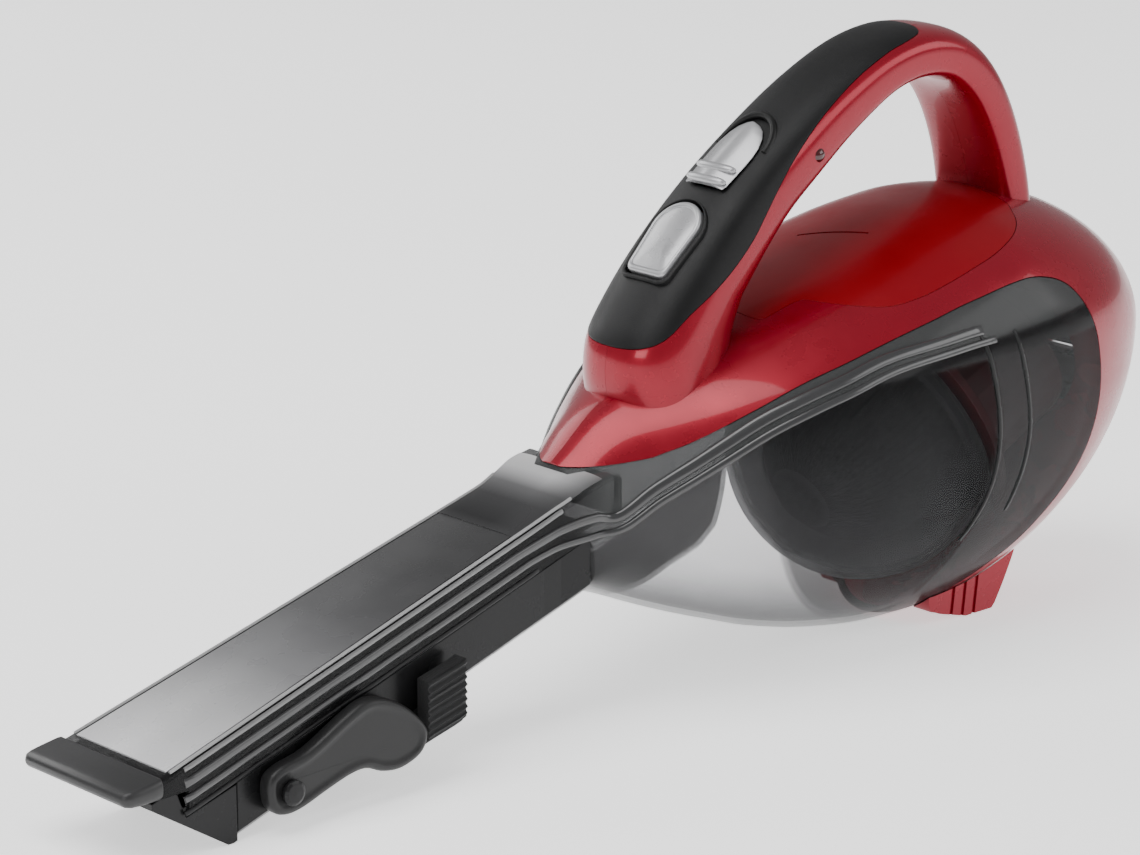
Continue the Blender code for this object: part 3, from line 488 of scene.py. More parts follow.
def rounded(nt, radius):
    b = nt.nodes.new("ShaderNodeBevel")
    b.samples = 4
    b.inputs["Radius"].default_value = radius * TO_M
    return b.outputs[0]


def moulded(name, colour, rough=0.4, metal=0.0, coat=0.0, vary=0.12, grain=2500.0, grain_depth=0.02, rough_vary=0.06, edge=0.5, coat_rough=0.05, spec=0.5, tint=None, edge_lighten=0.0):
    """Moulded or painted plastic: soft colour drift, fine grain, rounded edges."""
    m, nt, p, out, coord = nodes_of(name)
    dark = tuple(c * (1 - vary) for c in colour)
    light = tuple(min(c * (1 + vary), 1) for c in (tint or colour))
    broad = noise(nt, coord, 18.0, 2.0)
    colour_out = mix_colour(nt, remap(nt, broad, 0.0, 1.0), dark, light)
    fine = noise(nt, coord, grain, 2.0, 0.6)
    colour_out = mix_colour(nt, remap(nt, fine, 0.0, 0.05), colour_out, tuple(min(c * 1.35, 1) for c in colour))
    # lightens the colour on convex edges, found by Pointiness
    if edge_lighten:
        geo = nt.nodes.new("ShaderNodeNewGeometry")
        point = remap(nt, geo.outputs["Pointiness"], 0.0, edge_lighten, 0.52, 0.6)
        colour_out = mix_colour(nt, point, colour_out, tuple(min(c * 2.2 + 0.03, 1) for c in colour))
    nt.links.new(colour_out, p.inputs["Base Color"])
    r = noise(nt, coord, 60.0, 4.0, 0.6)
    nt.links.new(remap(nt, r, max(rough - rough_vary, 0.02), rough + rough_vary), p.inputs["Roughness"])
    p.inputs["Metallic"].default_value = metal
    p.inputs["Specular IOR Level"].default_value = spec
    p.inputs["Coat Weight"].default_value = coat
    p.inputs["Coat Roughness"].default_value = coat_rough
    normal = rounded(nt, edge) if edge else None
    if grain_depth:
        normal = bump(nt, fine, grain_depth, 0.0004, normal)
    if normal is not None:
        nt.links.new(normal, p.inputs["Normal"])
    m.diffuse_color = (*colour, 1)
    return m


RED = moulded("shell_red", (0.27, 0.0015, 0.014), 0.27, 0.45, coat=0.35, vary=0.06, grain=6000, grain_depth=0.0, edge=0.0, spec=0.3)
DEEP = moulded("panel_red", (0.27, 0.0, 0.006), 0.34, 0.35, coat=0.12, vary=0.06, grain=6000, grain_depth=0.0, edge=0.0, spec=0.25)
SOFT = moulded("grip_black", (0.007, 0.007, 0.0073), 0.40, 0.0, coat=0.0, vary=0.2, grain=3500, grain_depth=0.25, edge=0.5, spec=0.22)
RECESS = moulded("recess_black", (0.008, 0.008, 0.008), 0.35, 0.0, vary=0.2, grain=3500, grain_depth=0.1, edge=0.3, spec=0.22)
SILVER = moulded("key_silver", (0.42, 0.42, 0.43), 0.3, 0.55, coat=0.3, vary=0.06, grain=7000, grain_depth=0.03, edge=0.35)
DARK = moulded("channel_dark", (0.009, 0.009, 0.0095), 0.26, 0.0, vary=0.2, grain=3000, grain_depth=0.1, edge=0.5, spec=0.22)
RAIL = moulded("rail_grey", (0.03, 0.03, 0.031), 0.22, 0.0, coat=0.5, vary=0.12, grain=3000, grain_depth=0.05, edge=0.5)
BEAD = moulded("bead_grey", (0.14, 0.14, 0.141), 0.2, 0.0, coat=0.6, vary=0.1, grain=3000, grain_depth=0.0, edge=0.3)
GREY = moulded("brush_grey", (0.014, 0.014, 0.0143), 0.36, 0.0, vary=0.15, grain=2600, grain_depth=0.12, edge=0.6, spec=0.3, edge_lighten=0.1)
LIP = moulded("lip_grey", (0.022, 0.022, 0.0225), 0.34, 0.0, vary=0.15, grain=2600, grain_depth=0.1, edge=0.6, spec=0.35, edge_lighten=0.1)
RUBBER = moulded("seal_rubber", (0.012, 0.012, 0.012), 0.75, 0.0, vary=0.2, grain=2500, grain_depth=0.3, edge=0.4)
BLACK = moulded("inner_black", (0.012, 0.012, 0.012), 0.5, 0.0, vary=0.2, grain=2500, grain_depth=0.15, edge=0.4)
MAROON = moulded("inner_maroon", (0.07, 0.004, 0.007), 0.38, 0.0, vary=0.12, grain=2500, grain_depth=0.1, edge=0.6)
STEEL = moulded("plain_steel", (0.5, 0.5, 0.51), 0.32, 1.0, vary=0.06, grain=1800, grain_depth=0.08, edge=0.3)
BRASS = moulded("contact_brass", (0.62, 0.42, 0.14), 0.3, 1.0, vary=0.08, grain=1800, grain_depth=0.08, edge=0.2)
CELLS = moulded("cell_sleeve", (0.06, 0.012, 0.014), 0.3, 0.0, coat=0.4, vary=0.1, grain=2000, grain_depth=0.05, edge=0.3)
BOARD = moulded("board_green", (0.01, 0.1, 0.03), 0.4, 0.0, vary=0.3, grain=900, grain_depth=0.1, edge=0.1)
LENS = moulded("indicator_lens", (0.05, 0.004, 0.005), 0.1, 0.0, coat=0.5, vary=0.1, grain=2000, grain_depth=0.0, edge=0.2)


def smoke(name, colour, see, tint, rough=0.08, edge=0.0, banded=False):
    """Clear smoke plastic: a glossy skin over a tinted see-through sheet, denser at grazing angles.
    Banded: above the long rib and on the duct the plastic is dense, below it is clear."""
    m, nt, p, out, coord = nodes_of(name)
    haze = noise(nt, coord, 25.0, 3.0)
    base = mix_colour(nt, remap(nt, haze, 0.0, 1.0), tuple(c * 0.85 for c in colour), tuple(c * 1.15 for c in colour))
    nt.links.new(base, p.inputs["Base Color"])
    fine = noise(nt, coord, 90.0, 4.0, 0.6)
    nt.links.new(remap(nt, fine, rough * 0.7, rough * 1.5), p.inputs["Roughness"])
    p.inputs["Specular IOR Level"].default_value = 0.14
    if edge:
        nt.links.new(rounded(nt, edge), p.inputs["Normal"])
    clear = nt.nodes.new("ShaderNodeBsdfTransparent")
    clear.inputs["Color"].default_value = (*tint, 1)
    lw = nt.nodes.new("ShaderNodeLayerWeight")
    lw.inputs["Blend"].default_value = 0.35
    fac = remap(nt, lw.outputs["Facing"], 1 - see, 1.0 - see * 0.3, 0.3, 1.0)
    if banded:
        sep = nt.nodes.new("ShaderNodeSeparateXYZ")
        nt.links.new(coord.outputs["Object"], sep.inputs[0])
        along = remap(nt, sep.outputs["Y"], 0.0, 1.0, -0.06, 0.20)
        line = [(-60, 44), (-34, 52), (-16.2, 62.5), (-4.3, 70.5), (5, 76.6), (22.5, 87.1), (51.8, 97.9), (71.1, 102.9), (96.5, 105), (119.5, 105.7), (160, 108)]
        stops = [(((y - MIDDLE) * TO_M + 0.06) / 0.26, (z / 150.0,) * 3) for y, z in line]
        height = ramp(nt, along, stops)
        sub = nt.nodes.new("ShaderNodeMath")
        sub.operation = "MULTIPLY_ADD"
        nt.links.new(height, sub.inputs[0])
        sub.inputs[1].default_value = -0.150
        nt.links.new(sep.outputs["Z"], sub.inputs[2])
        dense = remap(nt, sub.outputs[0], 0.0, 1.0, -0.0008, 0.0008)
        duct = remap(nt, sep.outputs["Y"], 1.0, 0.0, -0.040, -0.026)
        dz = nt.nodes.new("ShaderNodeMath")
        dz.operation = "SUBTRACT"
        nt.links.new(sep.outputs["Z"], dz.inputs[0])
        dz.inputs[1].default_value = 0.062
        sq = nt.nodes.new("ShaderNodeMath")
        sq.operation = "POWER"
        ab = nt.nodes.new("ShaderNodeMath")
        ab.operation = "ABSOLUTE"
        nt.links.new(dz.outputs[0], ab.inputs[0])
        nt.links.new(ab.outputs[0], sq.inputs[0])
        sq.inputs[1].default_value = 2.0
        bow = nt.nodes.new("ShaderNodeMath")
        bow.operation = "MULTIPLY_ADD"
        nt.links.new(sq.outputs[0], bow.inputs[0])
        bow.inputs[1].default_value = 6.0
        nt.links.new(sep.outputs["Y"], bow.inputs[2])
        collar = remap(nt, bow.outputs[0], 0.0, 1.0, 0.1115, 0.1135)
        far = remap(nt, bow.outputs[0], 1.0, 0.0, 0.128, 0.150)

        def joined(a, b, how):
            n = nt.nodes.new("ShaderNodeMath")
            n.operation = how
            nt.links.new(a, n.inputs[0])
            nt.links.new(b, n.inputs[1])
            return n.outputs[0]

        low_line = [(-60, 28), (-30, 29.5), (-14, 32), (-6, 41), (-1, 48.3), (6, 54.6), (9.5, 61.2), (12, 80), (15, 90), (60, 100)]
        low_stops = [(((y - MIDDLE) * TO_M + 0.06) / 0.26, (z / 150.0,) * 3) for y, z in low_line]
        low = nt.nodes.new("ShaderNodeMath")
        low.operation = "MULTIPLY_ADD"
        nt.links.new(ramp(nt, along, low_stops), low.inputs[0])
        low.inputs[1].default_value = -0.150
        nt.links.new(sep.outputs["Z"], low.inputs[2])
        wedge = remap(nt, low.outputs[0], 0.0, 1.0, -0.0008, 0.0008)
        duct = joined(duct, joined(wedge, remap(nt, dense, 1.0, 0.0, 0.0, 1.0), "MULTIPLY"), "MAXIMUM")
        band = joined(dense, duct, "MAXIMUM")

        def blend_to(start, mask, value):
            f = nt.nodes.new("ShaderNodeMix")
            f.data_type = "FLOAT"
            nt.links.new(mask, f.inputs[0])
            nt.links.new(start, f.inputs[2])
            f.inputs[3].default_value = value
            return f.outputs[0]

        fac = blend_to(fac, collar, 0.52)
        fac = blend_to(fac, joined(collar, remap(nt, far, 1.0, 0.0, 0.0, 1.0), "MULTIPLY"), 0.34)
        fac = blend_to(fac, band, 0.78)
        grey = mix_colour(nt, collar, base, (0.035, 0.036, 0.037))
        grey = mix_colour(nt, dense, grey, (0.060, 0.062, 0.062))
        grey = mix_colour(nt, duct, grey, (0.012, 0.012, 0.0125))
        nt.links.new(grey, p.inputs["Base Color"])
    mix = nt.nodes.new("ShaderNodeMixShader")
    nt.links.new(fac, mix.inputs[0])
    nt.links.new(clear.outputs[0], mix.inputs[1])
    nt.links.new(p.outputs[0], mix.inputs[2])
    nt.links.new(mix.outputs[0], out.inputs["Surface"])
    m.diffuse_color = (*colour, 0.5)
    return m


# painted highlight: light grey for the thin bright lines along the window's edges
PAINTED_EDGE_HIGHLIGHT = moulded("painted_edge_highlight", (0.30, 0.30, 0.302), 0.25, 0.0, coat=0.3, vary=0.05, grain=3000, grain_depth=0.0, edge=0.0)
# painted highlight: a separate grey for the pleat crests, standing in for the light they catch
PLEAT_CREST_HIGHLIGHT = moulded("pleat_crest_painted_highlight", (0.16, 0.16, 0.158), 0.8, 0.0, vary=0.15, grain=2500, grain_depth=0.3, edge=0.0)
SMOKE = smoke("bowl_smoke", (0.03, 0.031, 0.032), 0.93, (0.93, 0.93, 0.935), rough=0.16, banded=True)
CUP_RIM = moulded("crown_black", (0.02, 0.02, 0.0205), 0.5, 0.0, vary=0.2, grain=2500, grain_depth=0.15, edge=0.0)
CUP = smoke("cup_smoke", (0.06, 0.06, 0.061), 0.45, (0.8, 0.8, 0.8), rough=0.4)


def window_material():
    """Satin window on the nozzle: silver at the tip, fading to dark smoke at the neck."""
    m, nt, p, out, coord = nodes_of("nozzle_window_satin")
    sep = nt.nodes.new("ShaderNodeSeparateXYZ")
    nt.links.new(coord.outputs["Object"], sep.inputs[0])
    along = remap(nt, sep.outputs["Y"], 0.0, 1.0, -0.200, -0.060)
    cloudy = noise(nt, coord, 40.0, 3.0)
    col = ramp(nt, along, [(0.0, (0.72, 0.72, 0.73)), (0.18, (0.50, 0.50, 0.505)), (0.38, (0.20, 0.20, 0.205)), (0.58, (0.075, 0.075, 0.077)), (0.8, (0.04, 0.04, 0.041)), (1.0, (0.03, 0.03, 0.031))])
    col = mix_colour(nt, remap(nt, cloudy, 0.0, 0.03), col, (0.3, 0.3, 0.3))
    nt.links.new(col, p.inputs["Base Color"])
    fine = noise(nt, coord, 4000.0, 2.0)
    nt.links.new(remap(nt, noise(nt, coord, 80.0, 3.0), 0.22, 0.32), p.inputs["Roughness"])
    p.inputs["Metallic"].default_value = 0.2
    p.inputs["Coat Weight"].default_value = 0.2
    nt.links.new(bump(nt, fine, 0.05, 0.0003, rounded(nt, 0.3)), p.inputs["Normal"])
    return m


WINDOW = window_material()


def neck_painted_reflection_material():
    """Glossy sweep between the window and the stem with painted light: dark at the window, a painted shade line in the
    dip, then a painted reflection, bright under the stem; darker towards the sides.
    """
    m, nt, p, out, coord = nodes_of("neck_sweep")
    sep = nt.nodes.new("ShaderNodeSeparateXYZ")
    nt.links.new(coord.outputs["Object"], sep.inputs[0])
    along = remap(nt, sep.outputs["Y"], 0.0, 1.0, -0.064, -0.026)
    # painted light along Y: a painted shade line in the dip behind the window, then a painted reflection rising to the
    # stem
    col = ramp(nt, along, [(0.0, (0.03, 0.03, 0.031)), (0.12, (0.010, 0.010, 0.0105)), (0.42, (0.030, 0.030, 0.031)), (0.60, (0.10, 0.10, 0.102)), (0.78, (0.42, 0.42, 0.425)), (1.0, (0.60, 0.60, 0.60))])
    # darker towards the sides
    side = remap(nt, sep.outputs["X"], 0.0, 1.0, 0.004, 0.021)
    col = mix_colour(nt, side, col, (0.035, 0.035, 0.036))
    nt.links.new(col, p.inputs["Base Color"])
    nt.links.new(remap(nt, noise(nt, coord, 70.0, 3.0), 0.16, 0.24), p.inputs["Roughness"])
    p.inputs["Specular IOR Level"].default_value = 0.4
    return m


NECK_PAINTED_REFLECTION = neck_painted_reflection_material()


def bristle_material():
    m, nt, p, out, coord = nodes_of("bristle_black")
    streak = noise(nt, coord, 60.0, 3.0, 0.6, stretch=(40.0, 1.0, 40.0))
    nt.links.new(ramp(nt, streak, [(0.3, (0.004, 0.004, 0.004)), (0.7, (0.02, 0.02, 0.021))]), p.inputs["Base Color"])
    nt.links.new(remap(nt, streak, 0.5, 0.8), p.inputs["Roughness"])
    nt.links.new(bump(nt, streak, 0.6, 0.0006), p.inputs["Normal"])
    return m


BRISTLE = bristle_material()


def paper_material():
    m, nt, p, out, coord = nodes_of("filter_fleece")
    fibre = noise(nt, coord, 700.0, 4.0, 0.7)
    nt.links.new(ramp(nt, fibre, [(0.3, (0.11, 0.11, 0.108)), (0.7, (0.2, 0.2, 0.195))]), p.inputs["Base Color"])
    nt.links.new(remap(nt, fibre, 0.8, 0.98), p.inputs["Roughness"])
    nt.links.new(bump(nt, fibre, 0.4, 0.0004), p.inputs["Normal"])
    return m


PAPER = paper_material()

# ------------------------------------------------------------------ fine stations
SIDES = 112
FINE_Y = sorted(
    [BODY_FRONT + d for d in (0, 1.5, 3.2)]
    + list(np.linspace(-20, 190, 62))
    + [194, 198, 201.5, 204.5, 207.5, 210, 212.3, 214.3, 216, 217.4, 218.6, 219.5, 220.2, 220.7]
)
FINE_K = list(np.linspace(0, 20, 101))
COARSE_Y = [-26, -18, -10, 0, 11, 23, 38, 56, 78, 100, 121, 141, 158, 173, 187, 199, 208, 215, 219.2]


def body(name, inset, ys=None, sides=SIDES):
    ys = [y for y in (ys or FINE_Y) if y < BODY_END - inset - 0.25]
    if inset:
        ys = [BODY_FRONT + inset] + [y for y in ys if y > BODY_FRONT + max(inset, 0) + 0.5]
    return loft(name, body_rings(inset, sides, ys), pole=(0, BODY_END - inset, 90))


def smoothed(values, passes=3):
    v = np.array(values, float)
    for _ in range(passes):
        v[1:-1] = v[1:-1] * 0.5 + (v[:-2] + v[2:]) * 0.25
    return v


_raw = {n: smoothed([f(k) for k in FINE_K], 6) for n, f in (("cy", handle_cy), ("cz", handle_cz), ("sy", handle_sy), ("sz", handle_sz), ("a", handle_a))}


def fine_handle(name, inset, count=64, step=1, power=2.5):
    rings = []
    for i in range(0, len(FINE_K), step):
        crest = np.array([_raw["cy"][i], _raw["cz"][i]])
        soffit = np.array([_raw["sy"][i], _raw["sz"][i]])
        mid, up = (crest + soffit) / 2, (crest - soffit) / 2
        h = np.linalg.norm(up)
        up = up / h * (h - inset)
        a = _raw["a"][i] - inset
        k = FINE_K[i]
        flat = min(max((k - 4.5) / 3.0, 0.0), 1.0) * min(max((20.0 - k) / 2.5, 0.0), 1.0)
        ring = []
        for j in range(count):
            t = 2 * math.pi * j / count
            s, c = math.sin(t), math.cos(t)
            pw = power if c > 0 else power + 2.6 * flat * min(1.0, -c * 3)
            x = a * math.copysign(abs(s) ** (2 / pw), s)
            u = math.copysign(abs(c) ** (2 / pw), c)
            ring.append((x, mid[0] + up[0] * u, mid[1] + up[1] * u))
        rings.append(ring)
    return loft(name, rings)


# Grip insert: the part of the handle above this side line.
GRIP_LINE = [
    (-12, 112.2), (-2.5, 113), (6, 116.4), (15.3, 123.6), (25.4, 130), (34, 136), (42.1, 143), (48, 150),
    (54.3, 157.6), (62, 165.6), (73, 174.6), (84, 181.8), (95, 187.6), (107, 192.4), (117, 194.8), (124, 196.4), (128, 199), (131, 203),
]


def grip_profile(shift):
    line = offset_line(smooth_line(GRIP_LINE, 3), shift)
    return line + [(131, 230), (-40, 230), (-40, 112.2 + shift)]


PANEL = [
    (0, 46.5), (12, 46.5), (17, 48), (18.5, 54), (20.5, 61.5), (26.2, 65.2), (33.2, 70.6), (40.5, 80), (43.2, 92),
    (43.2, 105), (42.2, 118), (40.4, 130), (36.6, 142), (31, 150), (24.5, 154.5), (21.2, 156.5), (19.5, 156.8), (0, 156.8),
]


def panel_outline(shift):
    half = smooth_line(PANEL, 4)
    pts = half + [(-x, y) for x, y in half[-2:0:-1]]
    out = []
    n = len(pts)
    for i in range(n):
        a, b = np.array(pts[i - 1], float), np.array(pts[(i + 1) % n], float)
        d = (b - a) / np.linalg.norm(b - a)
        nrm = np.array([d[1], -d[0]])
        if nrm @ (np.array(pts[i]) - np.array([0.0, 102.0])) < 0:
            nrm = -nrm
        p = np.array(pts[i], float) - nrm * shift
        out.append((float(p[0]), float(p[1])))
    return out


def fine_bowl_profile(grow):
    line = offset_line(smooth_line(BOWL_EDGE, 5), grow)
    return line + [(105, -40), (-260, -40), (-260, 80 + grow)]


# ------------------------------------------------------------------ red shells
cavity = body("c1", WALL, COARSE_Y, 44)
combine(cavity, prism("c2", fine_bowl_profile(WALL), -81, 81))
handle_in = fine_handle("c3", WALL, 24, 5)
combine(cavity, handle_in, "UNION", keep=True)
core = body("core", 0.0)
combine(core, fine_handle("c4", 0.0), "UNION")
combine(core, prism("c5", fine_bowl_profile(0.0), -80, 80))
combine(core, cavity)
combine(core, prism("c6", grip_profile(-0.12), -40, 40))
panel_space = prism("c7", panel_outline(0.0), 100, 190, "z")
combine(panel_space, body("c8", -0.5, COARSE_Y, 44), "INTERSECT")
combine(core, panel_space)
combine(
    core,
    loft("c9", [[(41.2 * math.sin(a), *on_axis(s, 31.2 * math.cos(a))[1:]) for a in np.linspace(0, 2 * math.pi, 64, endpoint=False)] for s in (6, -60)]),
)
for i in range(6):
    combine(core, block(f"v{i}", (0, 203, 108 - 6.5 * i), (30 - 2.2 * abs(i - 2), 60, 2.4), (0, 0.18, 1)))
left = half_of(core, "left", 0.04, 1)
right = half_of(core, "right", 0.04, -1)
bpy.data.objects.remove(core)
finish(left, "shell_left", "housing", RED, ["housing_left"])
finish(right, "shell_right", "housing", RED, ["housing_right"])

panel = prism("panel", panel_outline(0.25), 104, 180, "z")
combine(panel, body("c10a", 0.0), "INTERSECT")
combine(panel, body("c10", WALL + 0.4, COARSE_Y, 44))
combine(panel, block("c12", (-0.5, 97, 135), (24, 1.0, 30), x_dir=(1, 0.5, 0)))
finish(panel, "cover_panel", "housing", DEEP, ["top_panel"])

# ------------------------------------------------------------------ grip insert
grip = fine_handle("grip", -0.1)
combine(grip, handle_in)
combine(grip, prism("c13", grip_profile(0.12), -40, 40), "INTERSECT")


def crest_frame(k):
    p = Vector((0, handle_cy(k), handle_cz(k)))
    q = Vector((0, handle_cy(k + 0.05), handle_cz(k + 0.05)))
    t = (p - q).normalized()
    n = Vector((0, -t.z, t.y)) * -1
    if n.z < 0:
        n = -n
    return p, t, n


SW_P, SW_T, SW_N = crest_frame(7.05)
BT_P, BT_T, BT_N = crest_frame(5.55)


def on_crest(p, t, n, along, across, up):
    q = Vector(p) + Vector(t) * along + Vector(n) * up
    return (q.x + across, q.y, q.z)


def arch(half, length, nose, arc=28, corner=3.0):
    """Outline (across, along): round end away from the nozzle, rounded corners at the nose."""
    pts = []
    for a in np.linspace(-math.pi / 2, 0, 6):
        pts.append((half * 0.94 - corner + corner * math.cos(a) - half * 0.06, nose - corner - corner * math.sin(a) * 1.0))
    pts = []
    for a in np.linspace(math.pi / 2, 0, 7):
        pts.append((half * 0.9 - corner + corner * math.cos(a), nose - corner + corner * math.sin(a)))
    for a in np.linspace(0, math.pi, arc):
        pts.append((half * math.cos(a), nose - length + half - half * math.sin(a)))
    for a in np.linspace(math.pi, math.pi / 2, 7):
        pts.append((-half * 0.9 + corner + corner * math.cos(a), nose - corner + corner * math.sin(a)))
    return pts


def crest_prism(name, outline, lo, hi, p, t, n):
    return loft(name, [[on_crest(p, t, n, v, u, h) for u, v in outline] for h in (lo, hi)])


combine(grip, block("c14", SW_P + SW_T * 2 - SW_N * 4, (8.6, 21, 16), SW_N))
combine(grip, crest_prism("c15", arch(10.2, 29.5, 14.2), -12, 12, BT_P, BT_T, BT_N))
finish(grip, "grip_cover", "housing", SOFT, ["grip_insert"])


def crest_ring(name, outer, inner, p, t, n, low, high, crown=0.0):
    """Raised rim between two outlines of the same point count, following the crest's bend."""
    cx = 0.0

    def lift(u):
        return -(u * u) * 0.006

    rings = []
    for (outline, h) in ((outer, low), (outer, high * 0.6), ([(a[0] * 0.7 + b[0] * 0.3, a[1] * 0.7 + b[1] * 0.3) for a, b in zip(outer, inner)], high),
                         ([(a[0] * 0.3 + b[0] * 0.7, a[1] * 0.3 + b[1] * 0.7) for a, b in zip(outer, inner)], high), (inner, high * 0.6), (inner, low)):
        rings.append([on_crest(p, t, n, v, u, h + lift(u)) for u, v in outline])
    m, k = len(rings), len(rings[0])
    verts = [v for ring in rings for v in ring]
    faces = [(r * k + i, r * k + (i + 1) % k, ((r + 1) % m) * k + (i + 1) % k, ((r + 1) % m) * k + i) for r in range(m) for i in range(k)]
    return raw(name, verts, faces)


rim = crest_ring("rim", arch(11.8, 31.4, 15.6, corner=3.8), arch(10.25, 29.6, 14.25), BT_P, BT_T, BT_N, -4.0, 0.6)
finish(rim, "button_rim", "housing", SOFT)
# floor of the button's recess
well = crest_prism("well", arch(10.6, 30, 14.6), -7.5, -6.3, BT_P, BT_T, BT_N)
combine(well, turned("wh", [(0.0, 3), (4.3, 3), (4.3, -3), (0.0, -3)], BT_P - BT_N * 6.9, BT_N, 40))
finish(well, "button_well", "housing", RECESS)
coil = []
foot_of_coil = BT_P - BT_N * 9.9
cx_dir = BT_N.cross(BT_T).normalized()
for i in range(121):
    turn = 2 * math.pi * 4.5 * i / 120
    centre = foot_of_coil + (BT_T * math.cos(turn) + cx_dir * math.sin(turn)) * 3.0 + BT_N * (0.45 + 5.4 * i / 120)
    out_dir = BT_T * math.cos(turn) + cx_dir * math.sin(turn)
    coil.append([tuple(centre + out_dir * (0.42 * math.cos(a)) + BT_N * (0.42 * math.sin(a))) for a in np.linspace(0, 2 * math.pi, 10, endpoint=False)])
coil = finish(loft("coil", coil), "key_spring", "housing", STEEL, ["button_spring"], angle=80)
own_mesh(coil)


def crowned(name, outline, p, t, n, low, high, crown, rings_at, bend=0.0):
    cx = sum(u for u, _ in outline) / len(outline)
    cy = (max(v for _, v in outline) + min(v for _, v in outline)) / 2
    rings = []
    for k, h in rings_at(low, high, crown):
        rings.append([on_crest(p, t, n, cy + (v - cy) * k, cx + (u - cx) * k, h - bend * ((u - cx) * k) ** 2) for u, v in outline])
    return loft(name, rings, pole=on_crest(p, t, n, cy, cx, rings_at(low, high, crown)[-1][1]))


def button_rings(low, high, crown):
    return [(1.0, low), (1.0, high), (0.985, high + 0.5), (0.955, high + 0.85), (0.90, high + 0.95), (0.865, high + 0.75), (0.85, high + 0.45), (0.7, high + 0.75), (0.5, high + 0.95), (0.25, high + 1.05)]


key = crowned("key", arch(9.5, 27.8, 13.3, corner=2.6), BT_P, BT_T, BT_N, -3.3, 0.2, 1.8, button_rings, 0.004)
finish(key, "release_key", "release_button", SILVER, ["release_button"], angle=50)

# slide switch: lens-shaped thumb plate with two ribs at its nose
plate = []
for v, k, lift in ((-14.8, 0.12, 0.2), (-14.2, 0.34, 0.35), (-12.6, 0.6, 0.55), (-10, 0.8, 0.75), (-6, 0.95, 0.95), (-2, 1.0, 1.0), (3, 1.0, 1.05), (8, 0.98, 1.05), (11, 0.96, 1.0), (12.6, 0.9, 0.9)):
    ring = []
    for j in range(24):
        a = 2 * math.pi * j / 24
        u = 9.0 * k * math.cos(a)
        h = lift + (1.5 - 0.022 * (u * u)) * (0.5 + 0.5 * math.sin(a)) + (-0.75 if math.sin(a) < 0 else 0) * 0.35 - 0.012 * u * u
        ring.append(on_crest(SW_P, SW_T, SW_N, v, u, max(h, 0.25 - 0.012 * u * u)))
    plate.append(ring)
slider = loft("slider", plate)
combine(slider, block("s1", SW_P - SW_N * 3.2, (7.6, 11, 9), SW_N), "UNION")
finish(slider, "switch_plate", "power_slider", SILVER, ["power_slider"], angle=50)
for i, v in enumerate((11.3, 5.9)):
    bar = []
    for u in np.linspace(-8.2, 8.2, 17):
        fall = 1.0 - (abs(u) / 8.2) ** 6 * 0.55
        bar.append([on_crest(SW_P, SW_T, SW_N, v + 1.5 * fall * math.cos(a) - 0.010 * u * u, u, 2.0 + (1.35 * fall) * math.sin(a) - 0.012 * u * u) for a in np.linspace(0, 2 * math.pi, 16, endpoint=False)])
    finish(loft(f"bar{i}", bar), f"switch_rib_{i + 1}", "power_slider", SILVER, angle=60)
# arched hood behind the switch
hood = []
for a in np.linspace(0, math.pi, 25):
    c, s = math.cos(a), math.sin(a)
    ring = []
    for b in np.linspace(0, 2 * math.pi, 12, endpoint=False):
        r = 10.3 + 1.0 * math.cos(b)
        u = r * c
        ring.append(on_crest(SW_P, SW_T, SW_N, -6.0 - r * 1.28 * s, u, 0.2 + 1.5 * math.sin(b) - 0.02 * u * u))
    hood.append(ring)
finish(loft("hood", hood), "switch_hood", "housing", RECESS, angle=60)

lens = turned("lens", [(0.0, 2.2), (0.9, 2.1), (1.7, 1.7), (2.3, 1.0), (2.3, -3.0), (0.0, -3.0)], (16.0, 72.5, 164.7), (1, 0, 0), 32)
finish(lens, "indicator_lens", "housing", LENS, ["charge_indicator"], angle=40)

for node, mat in (
    ("switch_module", BLACK), ("circuit_board", BOARD), ("button_spring", STEEL), ("spring_seat", BLACK), ("release_latch", BLACK),
    ("charge_indicator", LENS), ("housing_screw_1", STEEL), ("housing_screw_2", STEEL), ("housing_screw_3", STEEL), ("housing_screw_4", STEEL),
    ("motor_housing", MAROON), ("motor_mount", BLACK), ("motor_can", STEEL), ("motor_shaft", STEEL), ("impeller", BLACK),
    ("battery_cell_1", CELLS), ("battery_cell_2", CELLS), ("battery_cell_3", CELLS), ("charge_contact_left", BRASS), ("charge_contact_right", BRASS),
    ("filter_seal", RUBBER), ("filter_cap", BLACK), ("inlet_flap", RUBBER), ("brush_pin_left", DARK), ("brush_pin_right", DARK),
    ("crevice_release", GREY), ("crevice_tool", DARK), ("nozzle_channel", DARK), ("rear_foot", RED), ("brush_bristles", BRISTLE), ("brush_frame", GREY),
    ("nozzle_lip", LIP),
):
    obj = bpy.data.objects.get(node)
    if obj is None:
        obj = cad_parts[node]
    for i in range(len(obj.material_slots)):
        obj.material_slots[i].material = mat
    if not obj.material_slots:
        obj.data.materials.append(mat)

# ------------------------------------------------------------------ dust bowl with the nozzle's duct
def duct_rings(inset, stations, low=DUCT_HEIGHT, high=0.0, r=2.0):
    rings = []
    for y in stations:
        w = nozzle_half(y) - inset
        t, b = nozzle_top(y) - high - inset, nozzle_top(y) - low + inset
        top = [(w - r + r * math.sin(a), y, t - r + r * math.cos(a)) for a in np.linspace(0, math.pi / 2, 6)]
        rings.append(top + [(w, y, b + 0.6), (w - 0.6, y, b), (-w + 0.6, y, b), (-w, y, b + 0.6)] + [(-x, yy, z) for x, yy, z in top[::-1]])
    return rings


